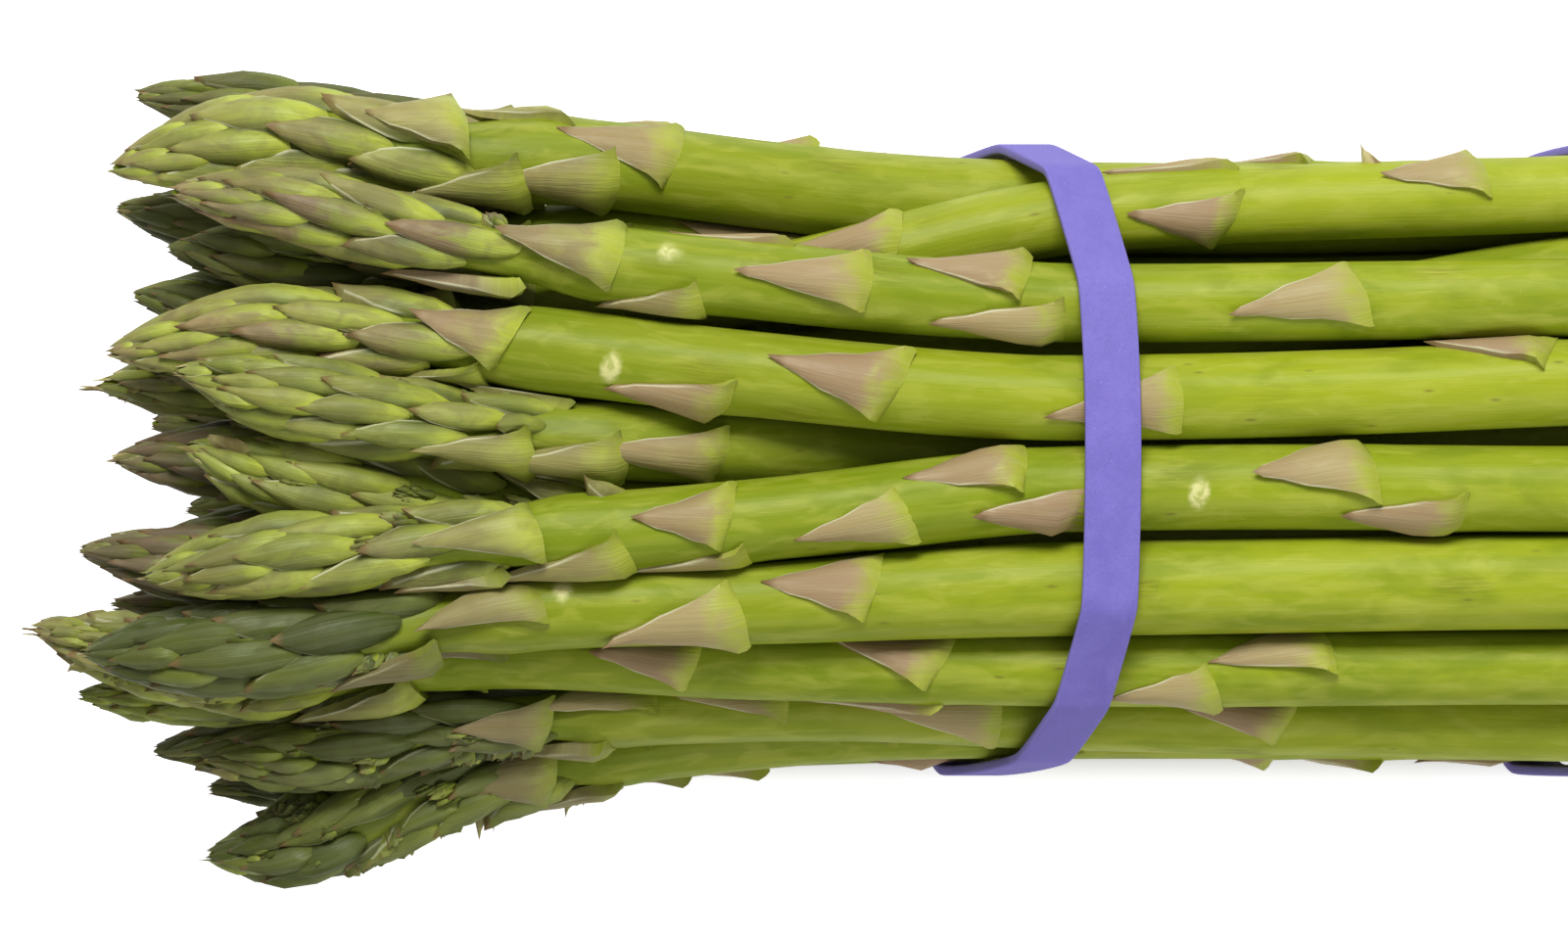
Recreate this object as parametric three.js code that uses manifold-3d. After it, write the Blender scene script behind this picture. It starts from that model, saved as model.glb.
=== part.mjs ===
// A bundle of green asparagus lying on its side: twenty-nine spears held by two flat rubber bands.
// Millimetres, +Z up. The tips point along -X and the cut ends along +X, and the bundle lies on z = 0.
// The origin is the middle of the bundle's box, on the surface that it lies on.
//
// The spears are laid out by hand in rows, then pressed apart, plane by plane, until none overlaps
// another. Each spear is a tapering stem. Its head carries whorls of pointed scales, raised by a
// formula, and its stem carries scale leaves on a spiral that opens out towards the cut end.
import * as THREE from "three";
import { mergeVertices } from "three/addons/utils/BufferGeometryUtils.js";
import Module from "manifold-3d";

const wasm = await Module();
wasm.setup();

// ---- Driving dimensions -------------------------------------------------------------------

const CUT_END = { x: 115, uneven: 2.5 }; // where the spears are cut, and how far that varies
const STEM_GAP = 0.2; // room kept round each stem, for the leaves that are pressed flat
const FLOOR_GAP = 1.75; // the stems lie this far above the surface where a band passes under them
const HEAD_PRESS = 0.7; // how deep the lowest heads are pressed flat on the surface
const GOLDEN_ANGLE = 2.39996;

// The bands lean over towards the cut ends at the top. "hold" is how far beside itself a band keeps
// the leaves down, and what would lie lower than "flatBelow" is flat on the surface.
const BAND = { width: 7, thickness: 1.3, gap: 0.35, lean: 0.38, middleZ: 29, steps: 40 };
const BAND_REST = { hold: 2.5, flatBelow: 0.6 };
const BAND_X = { band_upper: 9, band_lower: 83 }; // the middle of each band, at mid height

const ROW_Z = [5.6, 17.4, 29, 40, 50.6]; // the height of a spear's axis in each row
const PLACES_X = [-83, -58, -20, 17, 79]; // head, neck, waist, band and foot, where y is given

// Each spear: where its tip is (x and y), its y at the head, neck, waist, band and foot, the row
// that its tip and its foot lie in (from 0 at the bottom to 4 on top), and its diameter at the
// head, the neck and the foot. Some have the leaves on their upper side given: how far each base
// lies from the tip, and its angle in degrees from the top, positive towards +Y.
const SPEARS = [
  { tip: [-103, 48], y: [45.2, 41, 36, 31, 33], row: [2.0, 1.1], girth: [9, 9.6, 10.8] },
  { tip: [-105, 37], y: [40.2, 36, 32.4, 31.4, 33], row: [3.4, 2.1], girth: [12.6, 11, 11.6],
    leaves: [[62, -30], [69, 26]] },
  { tip: [-97, 34.8], y: [33.4, 27.8, 23.4, 21, 21.5], row: [4.2, 3.9], girth: [9.8, 9.6, 10.4],
    leaves: [[55, 18], [66, -55], [86, 14], [106, 46], [111, -42], [148, 12]] },
  { tip: [-105, 32.2], y: [29.5, 28, 24, 22, 24], row: [2.6, 1.2], girth: [10, 9.6, 10.8] },
  { tip: [-98, 26], y: [24.5, 24, 23, 22.5, 21], row: [3.1, 2.1], girth: [10, 9.6, 10.6] },
  { tip: [-103, 21.5], y: [19.8, 19.2, 24.6, 32, 34.4], row: [2.7, 3.2], girth: [9.6, 10.4, 12.6],
    leaves: [[97, 30], [138, -25], [170, 45]] },
  { tip: [-105, 14.1], y: [16.6, 14, 10.6, 8.5, 11.2], row: [3.7, 4.1], girth: [10.8, 11.8, 13],
    leaves: [[50, 12], [77, -52], [98, 5], [133, -4], [180, 70]] },
  { tip: [-96, 11.8], y: [8.4, 3, -1.2, 0, 4], row: [4.3, 2.8], girth: [10, 9.6, 10.8],
    leaves: [[54, -30], [66, -14]] },
  { tip: [-107, 9.8], y: [11, 13.4, 15.4, 15, 25], row: [2.8, 3.0], girth: [9.6, 10, 11.2] },
  { tip: [-105, 4], y: [4, 6, 7, 9, 15], row: [3.2, 2.0], girth: [10.8, 10, 10.8] },
  { tip: [-95.6, 3.4], y: [-0.2, -2.6, -6.4, -8.6, -8], row: [3.7, 3.0], girth: [11.4, 9.8, 10.8] },
  { tip: [-100, -7.4], y: [-6.6, -6, -3, -1, 3], row: [2.6, 2.0], girth: [9, 9.8, 10.6] },
  { tip: [-109, -10.2], y: [-13.4, -14, -15, -18, -16], row: [3.3, 2.8], girth: [10.4, 9.4, 10.2] },
  { tip: [-100, -13], y: [-10.6, -9, -6.5, -2.4, -2.4], row: [4.3, 4.1], girth: [10.8, 10, 11.6],
    leaves: [[48, 4], [59, -48], [72, 10], [74, -82], [94, -16], [109, 45], [118, -35], [152, 33],
      [163, -52]] },
  { tip: [-105.6, -16.8], y: [-18, -15, -12, -11, -10], row: [2.4, 1.9], girth: [8.6, 9.4, 10.4] },
  { tip: [-115, -20.4], y: [-26.4, -22.5, -22.8, -24.2, -24.6], row: [3.1, 3.4], girth: [9.6, 9.2, 10.4],
    leaves: [[83, 2], [114, 18], [148, -32], [162, 41]] },
  { tip: [-107.8, -22.4], y: [-21.4, -17.4, -16.5, -14.6, -13.8], row: [4.1, 3.9], girth: [12, 9.6, 12.2],
    leaves: [[56, 28], [81, -18], [98, 20]] },
  { tip: [-110, -30], y: [-29.4, -26, -25, -23, -20], row: [2.2, 1.8], girth: [8.4, 8.8, 10] },
  { tip: [-101, -35.6], y: [-34, -31, -29.4, -27.5, -26], row: [1.9, 1.1], girth: [9, 8.8, 9.8] },
  { tip: [-94, -34.6], y: [-34.2, -29, -28.4, -30.2, -32], row: [2.9, 2.6], girth: [10, 9, 10],
    leaves: [[73, 28], [100, -12], [137, 4]] },
  { tip: [-94.4, -40.4], y: [-38.8, -35, -32.5, -32, -33], row: [1.2, 0.8], girth: [8, 8.4, 9.4] },
  { tip: [-93.8, -47.8], y: [-46.2, -36.4, -31.6, -31, -32], row: [2.1, 1.6], girth: [11.8, 9.2, 9.8],
    leaves: [[87, 12]] },
  { tip: [-99, 22], y: [20.5, 19, 18, 19, 20], row: [0.5, 0.1], girth: [9.8, 9.8, 10.8] },
  { tip: [-103, 6], y: [7, 8, 8, 8.5, 9], row: [-0.4, 0.0], girth: [10, 10, 11] },
  { tip: [-97, -5], y: [-4, -2, -2.5, -2.5, -2.5], row: [1.2, 1.0], girth: [9.4, 9.6, 10.6] },
  { tip: [-92, -9], y: [-8, -5, -3.5, -3, -3], row: [-0.4, 0.0], girth: [9.6, 9.8, 10.8] },
  { tip: [-100, -20], y: [-18, -15, -14, -13.5, -13], row: [1.1, 0.9], girth: [9.2, 9.4, 10.4] },
  { tip: [-96, -27], y: [-24, -18, -16, -14.5, -14], row: [-0.4, 0.0], girth: [9.2, 9.2, 10.4] },
  { tip: [-90, 35], y: [33, 29, 27, 26, 27], row: [0.2, 0.9], girth: [9.2, 9.2, 10.4] },
];

// A spear's outline: the head is full at "headTo" from the tip, thins to the neck at "neckAt", and
// the stem swells from "swellFrom" to "footAt".
const OUTLINE = { headTo: 20, neckAt: 62, swellFrom: 55, footAt: 135 };
const NOSE = { radius: 0.7, round: 1.8, blunt: 0.8 };

// A head carries whorls of scales, each whorl turned half a scale against the next. A whorl's scales
// stand proud at their base and taper to a point that lies over the next whorl.
const WHORLS_AT = [6.5, 13.5, 21.5, 31, 42]; // the bases of the whorls, from the tip
const SCALE = { relief: 1.1, fullAt: 6, fade: 8, step: 0.7, shoulderAt: 0.55, twist: 0.016 };
const COLUMNS = 8; // two for each scale of a whorl
const STEM_RINGS_AT = [54, 66, 80, 97, 118, 146, 180];

// The leaves of a stem: the first one's place and how the spiral opens, then the leaf's own size.
const SPIRAL = { firstAt: 47, vary: 4, wait: 1.6, spread: 0.1, endClear: 8, givenTo: 80, back: -0.2 };
const LEAF = { length: [13, 16], halfWidth: 0.84, lift: 0.75, pressed: 0.14, root: 0.3, cover: 0.8 };

// How the layout is pressed apart: planes "step" apart, with a share of each overlap taken out in a
// round, a pull to the laid place while pressing, and a stiffness that fades while settling.
const PRESS = { step: 5, rounds: 260, settle: 240, push: 0.42, pull: 0.05, stiff: 0.35, stiffFor: 160 };

// ---- Small helpers ------------------------------------------------------------------------

const mix = (a, b, t) => a + (b - a) * t;
const clamp = (v, low, high) => Math.min(high, Math.max(low, v));
const smooth = (v, low, high) => {
  const t = clamp((v - low) / (high - low), 0, 1);
  return t * t * (3 - 2 * t);
};

// The same number between 0 and 1 each time for a spear and a place on it.
function chance(spear, place) {
  const value = Math.sin(spear * 127.1 + place * 311.7) * 43758.5453;
  return value - Math.floor(value);
}

// ---- Layout: where each spear's axis runs -------------------------------------------------

// The radius of a spear, its scales pressed flat, at a distance from its tip.
function radiusAt(spear, fromTip) {
  const [head, neck, foot] = spear.girth.map((d) => d / 2);
  const { headTo, neckAt, swellFrom, footAt } = OUTLINE;
  const before = 1 - clamp(fromTip / headTo, 0, 1);
  const nose = mix(NOSE.radius, head, Math.pow(1 - Math.pow(before, NOSE.round), NOSE.blunt));
  const body = mix(head, neck, smooth(fromTip, headTo, neckAt));
  return Math.min(nose, mix(body, foot, smooth(fromTip, swellFrom, footAt)));
}

const lengthOf = (index) =>
  CUT_END.x - SPEARS[index].tip[0] + mix(-CUT_END.uneven, CUT_END.uneven, chance(index, 1));

// Values given at the tip and at the five places, read smoothly at x.
function along(spear, x, values) {
  const places = [spear.tip[0], ...PLACES_X];
  let i = 0;
  while (i < places.length - 2 && x > places[i + 1]) i += 1;
  const slope = (k) => {
    const before = Math.max(k - 1, 0);
    const after = Math.min(k + 1, places.length - 1);
    return (values[after] - values[before]) / (places[after] - places[before]);
  };
  const span = places[i + 1] - places[i];
  const t = clamp((x - places[i]) / span, 0, 1);
  const t2 = t * t;
  const t3 = t2 * t;
  const bend = (t3 - 2 * t2 + t) * slope(i) + (t3 - t2) * slope(i + 1);
  return (2 * t3 - 3 * t2 + 1) * values[i] + (3 * t2 - 2 * t3) * values[i + 1] + bend * span;
}

// The hand-laid place of a spear's axis in the plane at x.
function laidAt(spear, x) {
  const row = mix(spear.row[0], spear.row[1], smooth(x, PLACES_X[0], PLACES_X[3]));
  const low = clamp(Math.floor(row), 0, ROW_Z.length - 2);
  return [along(spear, x, [spear.tip[1], ...spear.y]), mix(ROW_Z[low], ROW_Z[low + 1], row - low)];
}

// How low the stems may lie: over the bands' thickness, and at the heads right on the surface, where
// the lowest scales are pressed flat.
const floorAt = (x) => mix(-HEAD_PRESS, FLOOR_GAP, smooth(x, PLACES_X[1], PLACES_X[2]));

// Presses the spears apart in every plane, keeps their shifts smooth along each spear, and draws each
// one to its laid place.
function pressApart() {
  const first = Math.floor(Math.min(...SPEARS.map((s) => s.tip[0])) / PRESS.step);
  const last = Math.ceil((CUT_END.x + CUT_END.uneven) / PRESS.step);
  const planes = [];
  for (let k = first; k <= last; k += 1) planes.push(k * PRESS.step);
  const laid = SPEARS.map((s) => planes.map((x) => laidAt(s, x)));
  const here = SPEARS.map((s) => planes.map((x) => laidAt(s, x)));
  const room = SPEARS.map((s) => planes.map((x) => radiusAt(s, x - s.tip[0]) + STEM_GAP));
  const starts = SPEARS.map((s) => planes.findIndex((x) => x > s.tip[0] - PRESS.step));
  for (let round = 0; round < PRESS.rounds + PRESS.settle; round += 1) {
    const pressing = round < PRESS.rounds;
    const pull = pressing ? PRESS.pull * (1 - round / PRESS.rounds) : 0;
    const stiff = PRESS.stiff * clamp(1 - (round - PRESS.rounds) / PRESS.stiffFor, 0, 1);
    const next = here.map((line) => line.map((p) => [...p]));
    for (let k = 0; k < planes.length; k += 1) {
      for (let i = 0; i < SPEARS.length; i += 1) {
        for (let j = i + 1; j < SPEARS.length; j += 1) {
          if (k < starts[i] || k < starts[j]) continue;
          const dy = here[i][k][0] - here[j][k][0];
          const dz = here[i][k][1] - here[j][k][1];
          const far = Math.hypot(dy, dz);
          const push = (PRESS.push * Math.max(0, room[i][k] + room[j][k] - far)) / far;
          next[i][k][0] += push * dy;
          next[i][k][1] += push * dz;
          next[j][k][0] -= push * dy;
          next[j][k][1] -= push * dz;
        }
      }
    }
    for (let i = 0; i < SPEARS.length; i += 1) {
      for (let k = starts[i]; k < planes.length; k += 1) {
        const [before, now, after] = [k - 1, k, k + 1].map((n) => {
          const at = clamp(n, starts[i], planes.length - 1);
          return [0, 1].map((c) => here[i][at][c] - laid[i][at][c]);
        });
        for (const c of [0, 1]) {
          next[i][k][c] += stiff * ((before[c] + after[c]) / 2 - now[c]) - pull * now[c];
        }
        next[i][k][1] = Math.max(next[i][k][1], floorAt(planes[k]) + room[i][k]);
      }
    }
    next.forEach((line, i) => {
      here[i] = line;
    });
  }
  return { planes, here, starts };
}

const layout = pressApart();

// The axis of a spear in the plane at x, read smoothly between the planes of the layout.
function axisAt(index, x) {
  const { planes, here, starts } = layout;
  const last = planes.length - 1;
  const at = clamp((x - planes[0]) / PRESS.step, 0, last);
  const k = Math.min(Math.floor(at), last - 1);
  const t = at - k;
  const [a, b, c, d] = [k - 1, k, k + 1, k + 2].map((n) => here[index][clamp(n, starts[index], last)]);
  return [0, 1].map((v) => {
    const square = 2 * a[v] - 5 * b[v] + 4 * c[v] - d[v];
    const cube = 3 * (b[v] - c[v]) + d[v] - a[v];
    return b[v] + (t / 2) * (c[v] - a[v] + t * (square + t * cube));
  });
}

// A point on a spear: a distance from its tip along X, an angle round it from straight up, and a
// radius. Nothing reaches below the surface.
function pointOn(index, fromTip, angle, radius) {
  const x = SPEARS[index].tip[0] + fromTip;
  const [y, z] = axisAt(index, x);
  const [y1, z1] = axisAt(index, x + 1);
  const [y0, z0] = axisAt(index, x - 1);
  const forward = new THREE.Vector3(2, y1 - y0, z1 - z0).normalize();
  const side = new THREE.Vector3(0, 0, 1).cross(forward).normalize();
  const point = new THREE.Vector3(x, y, z)
    .addScaledVector(forward.cross(side), radius * Math.cos(angle))
    .addScaledVector(side, radius * Math.sin(angle));
  return point.setZ(Math.max(point.z, 0));
}

// ---- Solids -------------------------------------------------------------------------------

function solidFrom(points, faces) {
  const flat = new Float32Array(points.flatMap((p) => [p.x, p.y, p.z]));
  const geometry = new THREE.BufferGeometry();
  geometry.setAttribute("position", new THREE.BufferAttribute(flat, 3));
  geometry.setIndex(faces.flat());
  const merged = mergeVertices(geometry, 1e-4);
  const mesh = new wasm.Mesh({
    numProp: 3,
    vertProperties: merged.attributes.position.array,
    triVerts: new Uint32Array(merged.index.array),
  });
  const solid = new wasm.Manifold(mesh);
  if (solid.volume() < 0) return solidFrom(points, faces.map(([a, b, c]) => [a, c, b]));
  return solid;
}

function geometryFrom(solid) {
  const { vertProperties, triVerts, numProp } = solid.getMesh();
  const places = [];
  for (let i = 0; i < vertProperties.length; i += numProp) {
    places.push(vertProperties[i], vertProperties[i + 1], vertProperties[i + 2]);
  }
  const geometry = new THREE.BufferGeometry();
  geometry.setAttribute("position", new THREE.BufferAttribute(new Float32Array(places), 3));
  geometry.setIndex([...triVerts]);
  geometry.computeVertexNormals();
  return geometry;
}

// ---- Spears -------------------------------------------------------------------------------

// The rings of a spear from its tip: how far back each lies, and how far its even and odd columns
// stand out, as shares of the head's relief.
function ringsOf(index) {
  const rings = [];
  WHORLS_AT.forEach((base, whorl) => {
    const before = whorl ? WHORLS_AT[whorl - 1] : 0;
    const own = (high, low) => (whorl % 2 ? [low, high] : [high, low]);
    rings.push({ at: mix(before, base, SCALE.shoulderAt), stand: own(1, 0.15) });
    rings.push({ at: base, stand: own(1, 0.5) });
    rings.push({ at: base + SCALE.step, stand: own(0, 0.5) });
  });
  [...STEM_RINGS_AT, lengthOf(index)].forEach((at) => rings.push({ at, stand: [0, 0] }));
  return rings;
}

// The stem with the relief of its head, from a point at the tip to the flat cut end. Between the
// scales of the head the surface stands back from the spear's outline.
function stem(index) {
  const rings = ringsOf(index);
  const turn = 2 * Math.PI * chance(index, 3);
  const last = WHORLS_AT[WHORLS_AT.length - 1];
  const points = [pointOn(index, 0, 0, 0)];
  rings.forEach(({ at, stand }) => {
    const relief = SCALE.relief * smooth(at, 0, SCALE.fullAt);
    const back = relief * (1 - smooth(at, last, last + SCALE.fade));
    const core = radiusAt(SPEARS[index], at) - back;
    for (let k = 0; k < COLUMNS; k += 1) {
      const angle = turn + (k * 2 * Math.PI) / COLUMNS + SCALE.twist * at;
      points.push(pointOn(index, at, angle, core + relief * stand[k % 2]));
    }
  });
  const end = points.push(pointOn(index, lengthOf(index), 0, 0)) - 1;
  const onRing = (ring, k) => 1 + ring * COLUMNS + (k % COLUMNS);
  const faces = [];
  for (let k = 0; k < COLUMNS; k += 1) {
    faces.push([0, onRing(0, k + 1), onRing(0, k)]);
    for (let ring = 0; ring < rings.length - 1; ring += 1) {
      faces.push([onRing(ring, k), onRing(ring, k + 1), onRing(ring + 1, k + 1)]);
      faces.push([onRing(ring, k), onRing(ring + 1, k + 1), onRing(ring + 1, k)]);
    }
    faces.push([end, onRing(rings.length - 1, k), onRing(rings.length - 1, k + 1)]);
  }
  return solidFrom(points, faces);
}

// Where the middle of a band's width lies at a height.
const bandX = (middle, z) => middle + BAND.lean * (z - BAND.middleZ);

const underBand = (p) =>
  Object.values(BAND_X).some(
    (middle) => Math.abs(p.x - bandX(middle, p.z)) < BAND.width / 2 + BAND_REST.hold,
  );

// How far a leaf can stand off a stem here, if the neighbour's leaves stand off as far.
function freeLift(index, fromTip, angle, wanted) {
  for (let lift = wanted; lift > LEAF.pressed; lift -= LEAF.pressed) {
    const p = pointOn(index, fromTip, angle, radiusAt(SPEARS[index], fromTip) + lift);
    const clear = SPEARS.every((other, j) => {
      if (j === index || p.x < other.tip[0] - LEAF.lift) return true;
      const [y, z] = axisAt(j, p.x);
      return Math.hypot(p.y - y, p.z - z) > radiusAt(other, p.x - other.tip[0]) + STEM_GAP + lift;
    });
    if (clear && !underBand(p)) return lift;
  }
  return LEAF.pressed;
}

// Whether the surface here faces out of the bundle, with no other spear straight in front of it.
function exposed(index, fromTip, angle) {
  const from = pointOn(index, fromTip, angle, 0);
  const ahead = pointOn(index, fromTip, angle, 1).sub(from);
  return SPEARS.every((other, j) => {
    if (j === index || from.x < other.tip[0]) return true;
    const [y, z] = axisAt(j, from.x);
    const [dy, dz] = [y - from.y, z - from.z];
    const aside = Math.abs(dy * ahead.z - dz * ahead.y);
    return dy * ahead.y + dz * ahead.z < 0 || aside > LEAF.cover * radiusAt(other, from.x - other.tip[0]);
  });
}

// One pointed leaf on the stem: three points across its base and one at its tip. Its root is sunk
// well into the stem, and it is pressed flat where a neighbour or a band is in the way.
function scaleLeaf(index, { base, angle, length }) {
  const corners = [[0, -1], [0, 0], [0, 1], [1, 0]]; // along the leaf, and across it
  const layer = (sunk) =>
    corners.map(([ahead, across]) => {
      const fromTip = base - ahead * length;
      const around = angle + across * LEAF.halfWidth;
      const radius = radiusAt(SPEARS[index], fromTip);
      const crown = LEAF.lift * (1 - 0.4 * Math.abs(across)) * (1 - 0.5 * ahead);
      const out = sunk ? LEAF.root * radius : radius + freeLift(index, fromTip, around, crown);
      return pointOn(index, fromTip, around, out);
    });
  const faces = [[0, 1, 3], [1, 2, 3], [4, 7, 5], [5, 7, 6]];
  for (let a = 0; a < corners.length; a += 1) {
    const b = (a + 1) % corners.length;
    faces.push([a, 4 + a, b], [b, 4 + a, 4 + b]);
  }
  return solidFrom([...layer(false), ...layer(true)], faces);
}

// The leaves of one stem: those given, and the others on a spiral, where they face out of the bundle.
function scaleLeaves(index) {
  const { tip, leaves: given = [] } = SPEARS[index];
  const lengthAt = (base) => mix(...LEAF.length, chance(index, base));
  const leaves = given.map(([base, degrees]) => {
    return { base, angle: THREE.MathUtils.degToRad(degrees), length: lengthAt(base) };
  });
  let base = SPIRAL.firstAt + SPIRAL.vary * chance(index, 4);
  let angle = 2 * Math.PI * chance(index, 2);
  while (base < lengthOf(index) - SPIRAL.endClear) {
    const free = !given.length || Math.cos(angle) < SPIRAL.back || base + tip[0] > SPIRAL.givenTo;
    const length = lengthAt(base);
    if (free && exposed(index, base, angle) && exposed(index, base - length / 2, angle)) {
      leaves.push({ base, angle, length });
    }
    base += SPIRAL.wait + SPIRAL.spread * base;
    angle += GOLDEN_ANGLE;
  }
  return leaves;
}

function spear(index) {
  const leaves = scaleLeaves(index).map((leaf) => scaleLeaf(index, leaf));
  return wasm.Manifold.union([stem(index), ...leaves]);
}

// ---- Rubber bands -------------------------------------------------------------------------

// The taut outline round the stems between two planes, as its reach in each direction.
function reachRound(low, high) {
  const marks = [];
  SPEARS.forEach((s, i) => {
    for (let x = low; x <= high; x += BAND.width / 3) {
      const [y, z] = axisAt(i, x);
      marks.push([y, z, radiusAt(s, x - s.tip[0]) + STEM_GAP]);
    }
  });
  return (angle) => Math.max(...marks.map(([y, z, r]) => y * Math.cos(angle) + z * Math.sin(angle) + r));
}

// A flat band: a closed loop of rectangular section. Each of its corners lies where two
// neighbouring tangents of the outline meet, and its underside is flat on the surface.
function band(middle) {
  const turn = (2 * Math.PI) / BAND.steps;
  const swing = BAND.lean * BAND.middleZ;
  const points = [];
  for (let k = 0; k < BAND.steps; k += 1) {
    const angles = [k * turn, (k + 1) * turn];
    const x = middle + swing * Math.sin((k + 0.5) * turn);
    const reach = reachRound(x - BAND.width, x + BAND.width);
    const corner = (out) => {
      const [a, b] = angles;
      const [ra, rb] = angles.map((angle) => reach(angle) + BAND.gap + out);
      const y = (ra * Math.sin(b) - rb * Math.sin(a)) / Math.sin(turn);
      return [y, (rb * Math.cos(a) - ra * Math.cos(b)) / Math.sin(turn)];
    };
    const [inner, outer] = [corner(0), corner(BAND.thickness)];
    if (outer[1] < BAND_REST.flatBelow) outer[1] = 0;
    for (const [y, z] of [inner, outer]) {
      for (const side of [-0.5, 0.5]) {
        points.push(new THREE.Vector3(bandX(middle, outer[1]) + side * BAND.width, y, z));
      }
    }
  }
  const faces = [];
  const section = [0, 1, 3, 2];
  for (let k = 0; k < BAND.steps; k += 1) {
    const next = (k + 1) % BAND.steps;
    section.forEach((a, n) => {
      const b = section[(n + 1) % section.length];
      faces.push([4 * k + a, 4 * next + a, 4 * next + b], [4 * k + a, 4 * next + b, 4 * k + b]);
    });
  }
  return solidFrom(points, faces);
}

// ---- Assembly -----------------------------------------------------------------------------

const stemMaterial = new THREE.MeshStandardMaterial({ color: 0x86a32e, roughness: 0.5, metalness: 0 });
const bandMaterial = new THREE.MeshStandardMaterial({ color: 0x5f4fb4, roughness: 0.75, metalness: 0 });

const bundle = new THREE.Group();

function addPiece(name, solid, material) {
  const mesh = new THREE.Mesh(geometryFrom(solid), material.clone());
  mesh.name = name;
  bundle.add(mesh);
}

SPEARS.forEach((s, index) => {
  addPiece("spear_" + String(index + 1).padStart(2, "0"), spear(index), stemMaterial);
});
Object.entries(BAND_X).forEach(([name, middle]) => addPiece(name, band(middle), bandMaterial));

const box = new THREE.Box3().setFromObject(bundle);
const centre = box.getCenter(new THREE.Vector3());
bundle.position.set(-centre.x, -centre.y, -box.min.z);

export default bundle;
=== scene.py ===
import math
import bpy
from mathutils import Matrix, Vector
import numpy as np


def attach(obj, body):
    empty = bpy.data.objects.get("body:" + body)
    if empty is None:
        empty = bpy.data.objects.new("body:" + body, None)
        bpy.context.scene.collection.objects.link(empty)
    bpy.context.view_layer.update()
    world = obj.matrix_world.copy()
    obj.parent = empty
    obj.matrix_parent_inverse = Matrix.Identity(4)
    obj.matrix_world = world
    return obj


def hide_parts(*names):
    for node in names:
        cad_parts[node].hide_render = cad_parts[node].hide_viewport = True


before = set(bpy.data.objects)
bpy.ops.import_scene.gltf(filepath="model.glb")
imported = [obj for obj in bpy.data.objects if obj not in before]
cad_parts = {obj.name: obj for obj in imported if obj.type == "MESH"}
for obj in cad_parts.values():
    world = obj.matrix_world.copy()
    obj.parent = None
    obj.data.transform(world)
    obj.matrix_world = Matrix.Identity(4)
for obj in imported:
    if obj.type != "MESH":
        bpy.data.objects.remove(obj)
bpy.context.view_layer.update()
mm = 0.001  # every size below is in millimetres, and a mesh is scaled once, when it is made
goldenAngle = 2.39996
print("frame loaded:", len(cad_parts), "nodes")

# The bundle. Tips point along -X, cut ends along +X, and it lies on z = 0.
bundle = {
    "cutEnd": 115, "uneven": 2.5,
    "stemGap": 0.2, "floorGap": 1.75, "headPress": 0.7,
    "rowZ": [5.6, 17.4, 29, 40, 50.6],
    "placesX": [-83, -58, -20, 17, 79],  # head, neck, waist, band and foot
    "step": 5, "rounds": 260, "settle": 240, "push": 0.42, "pull": 0.05, "stiff": 0.35, "stiffFor": 160,
}

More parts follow.
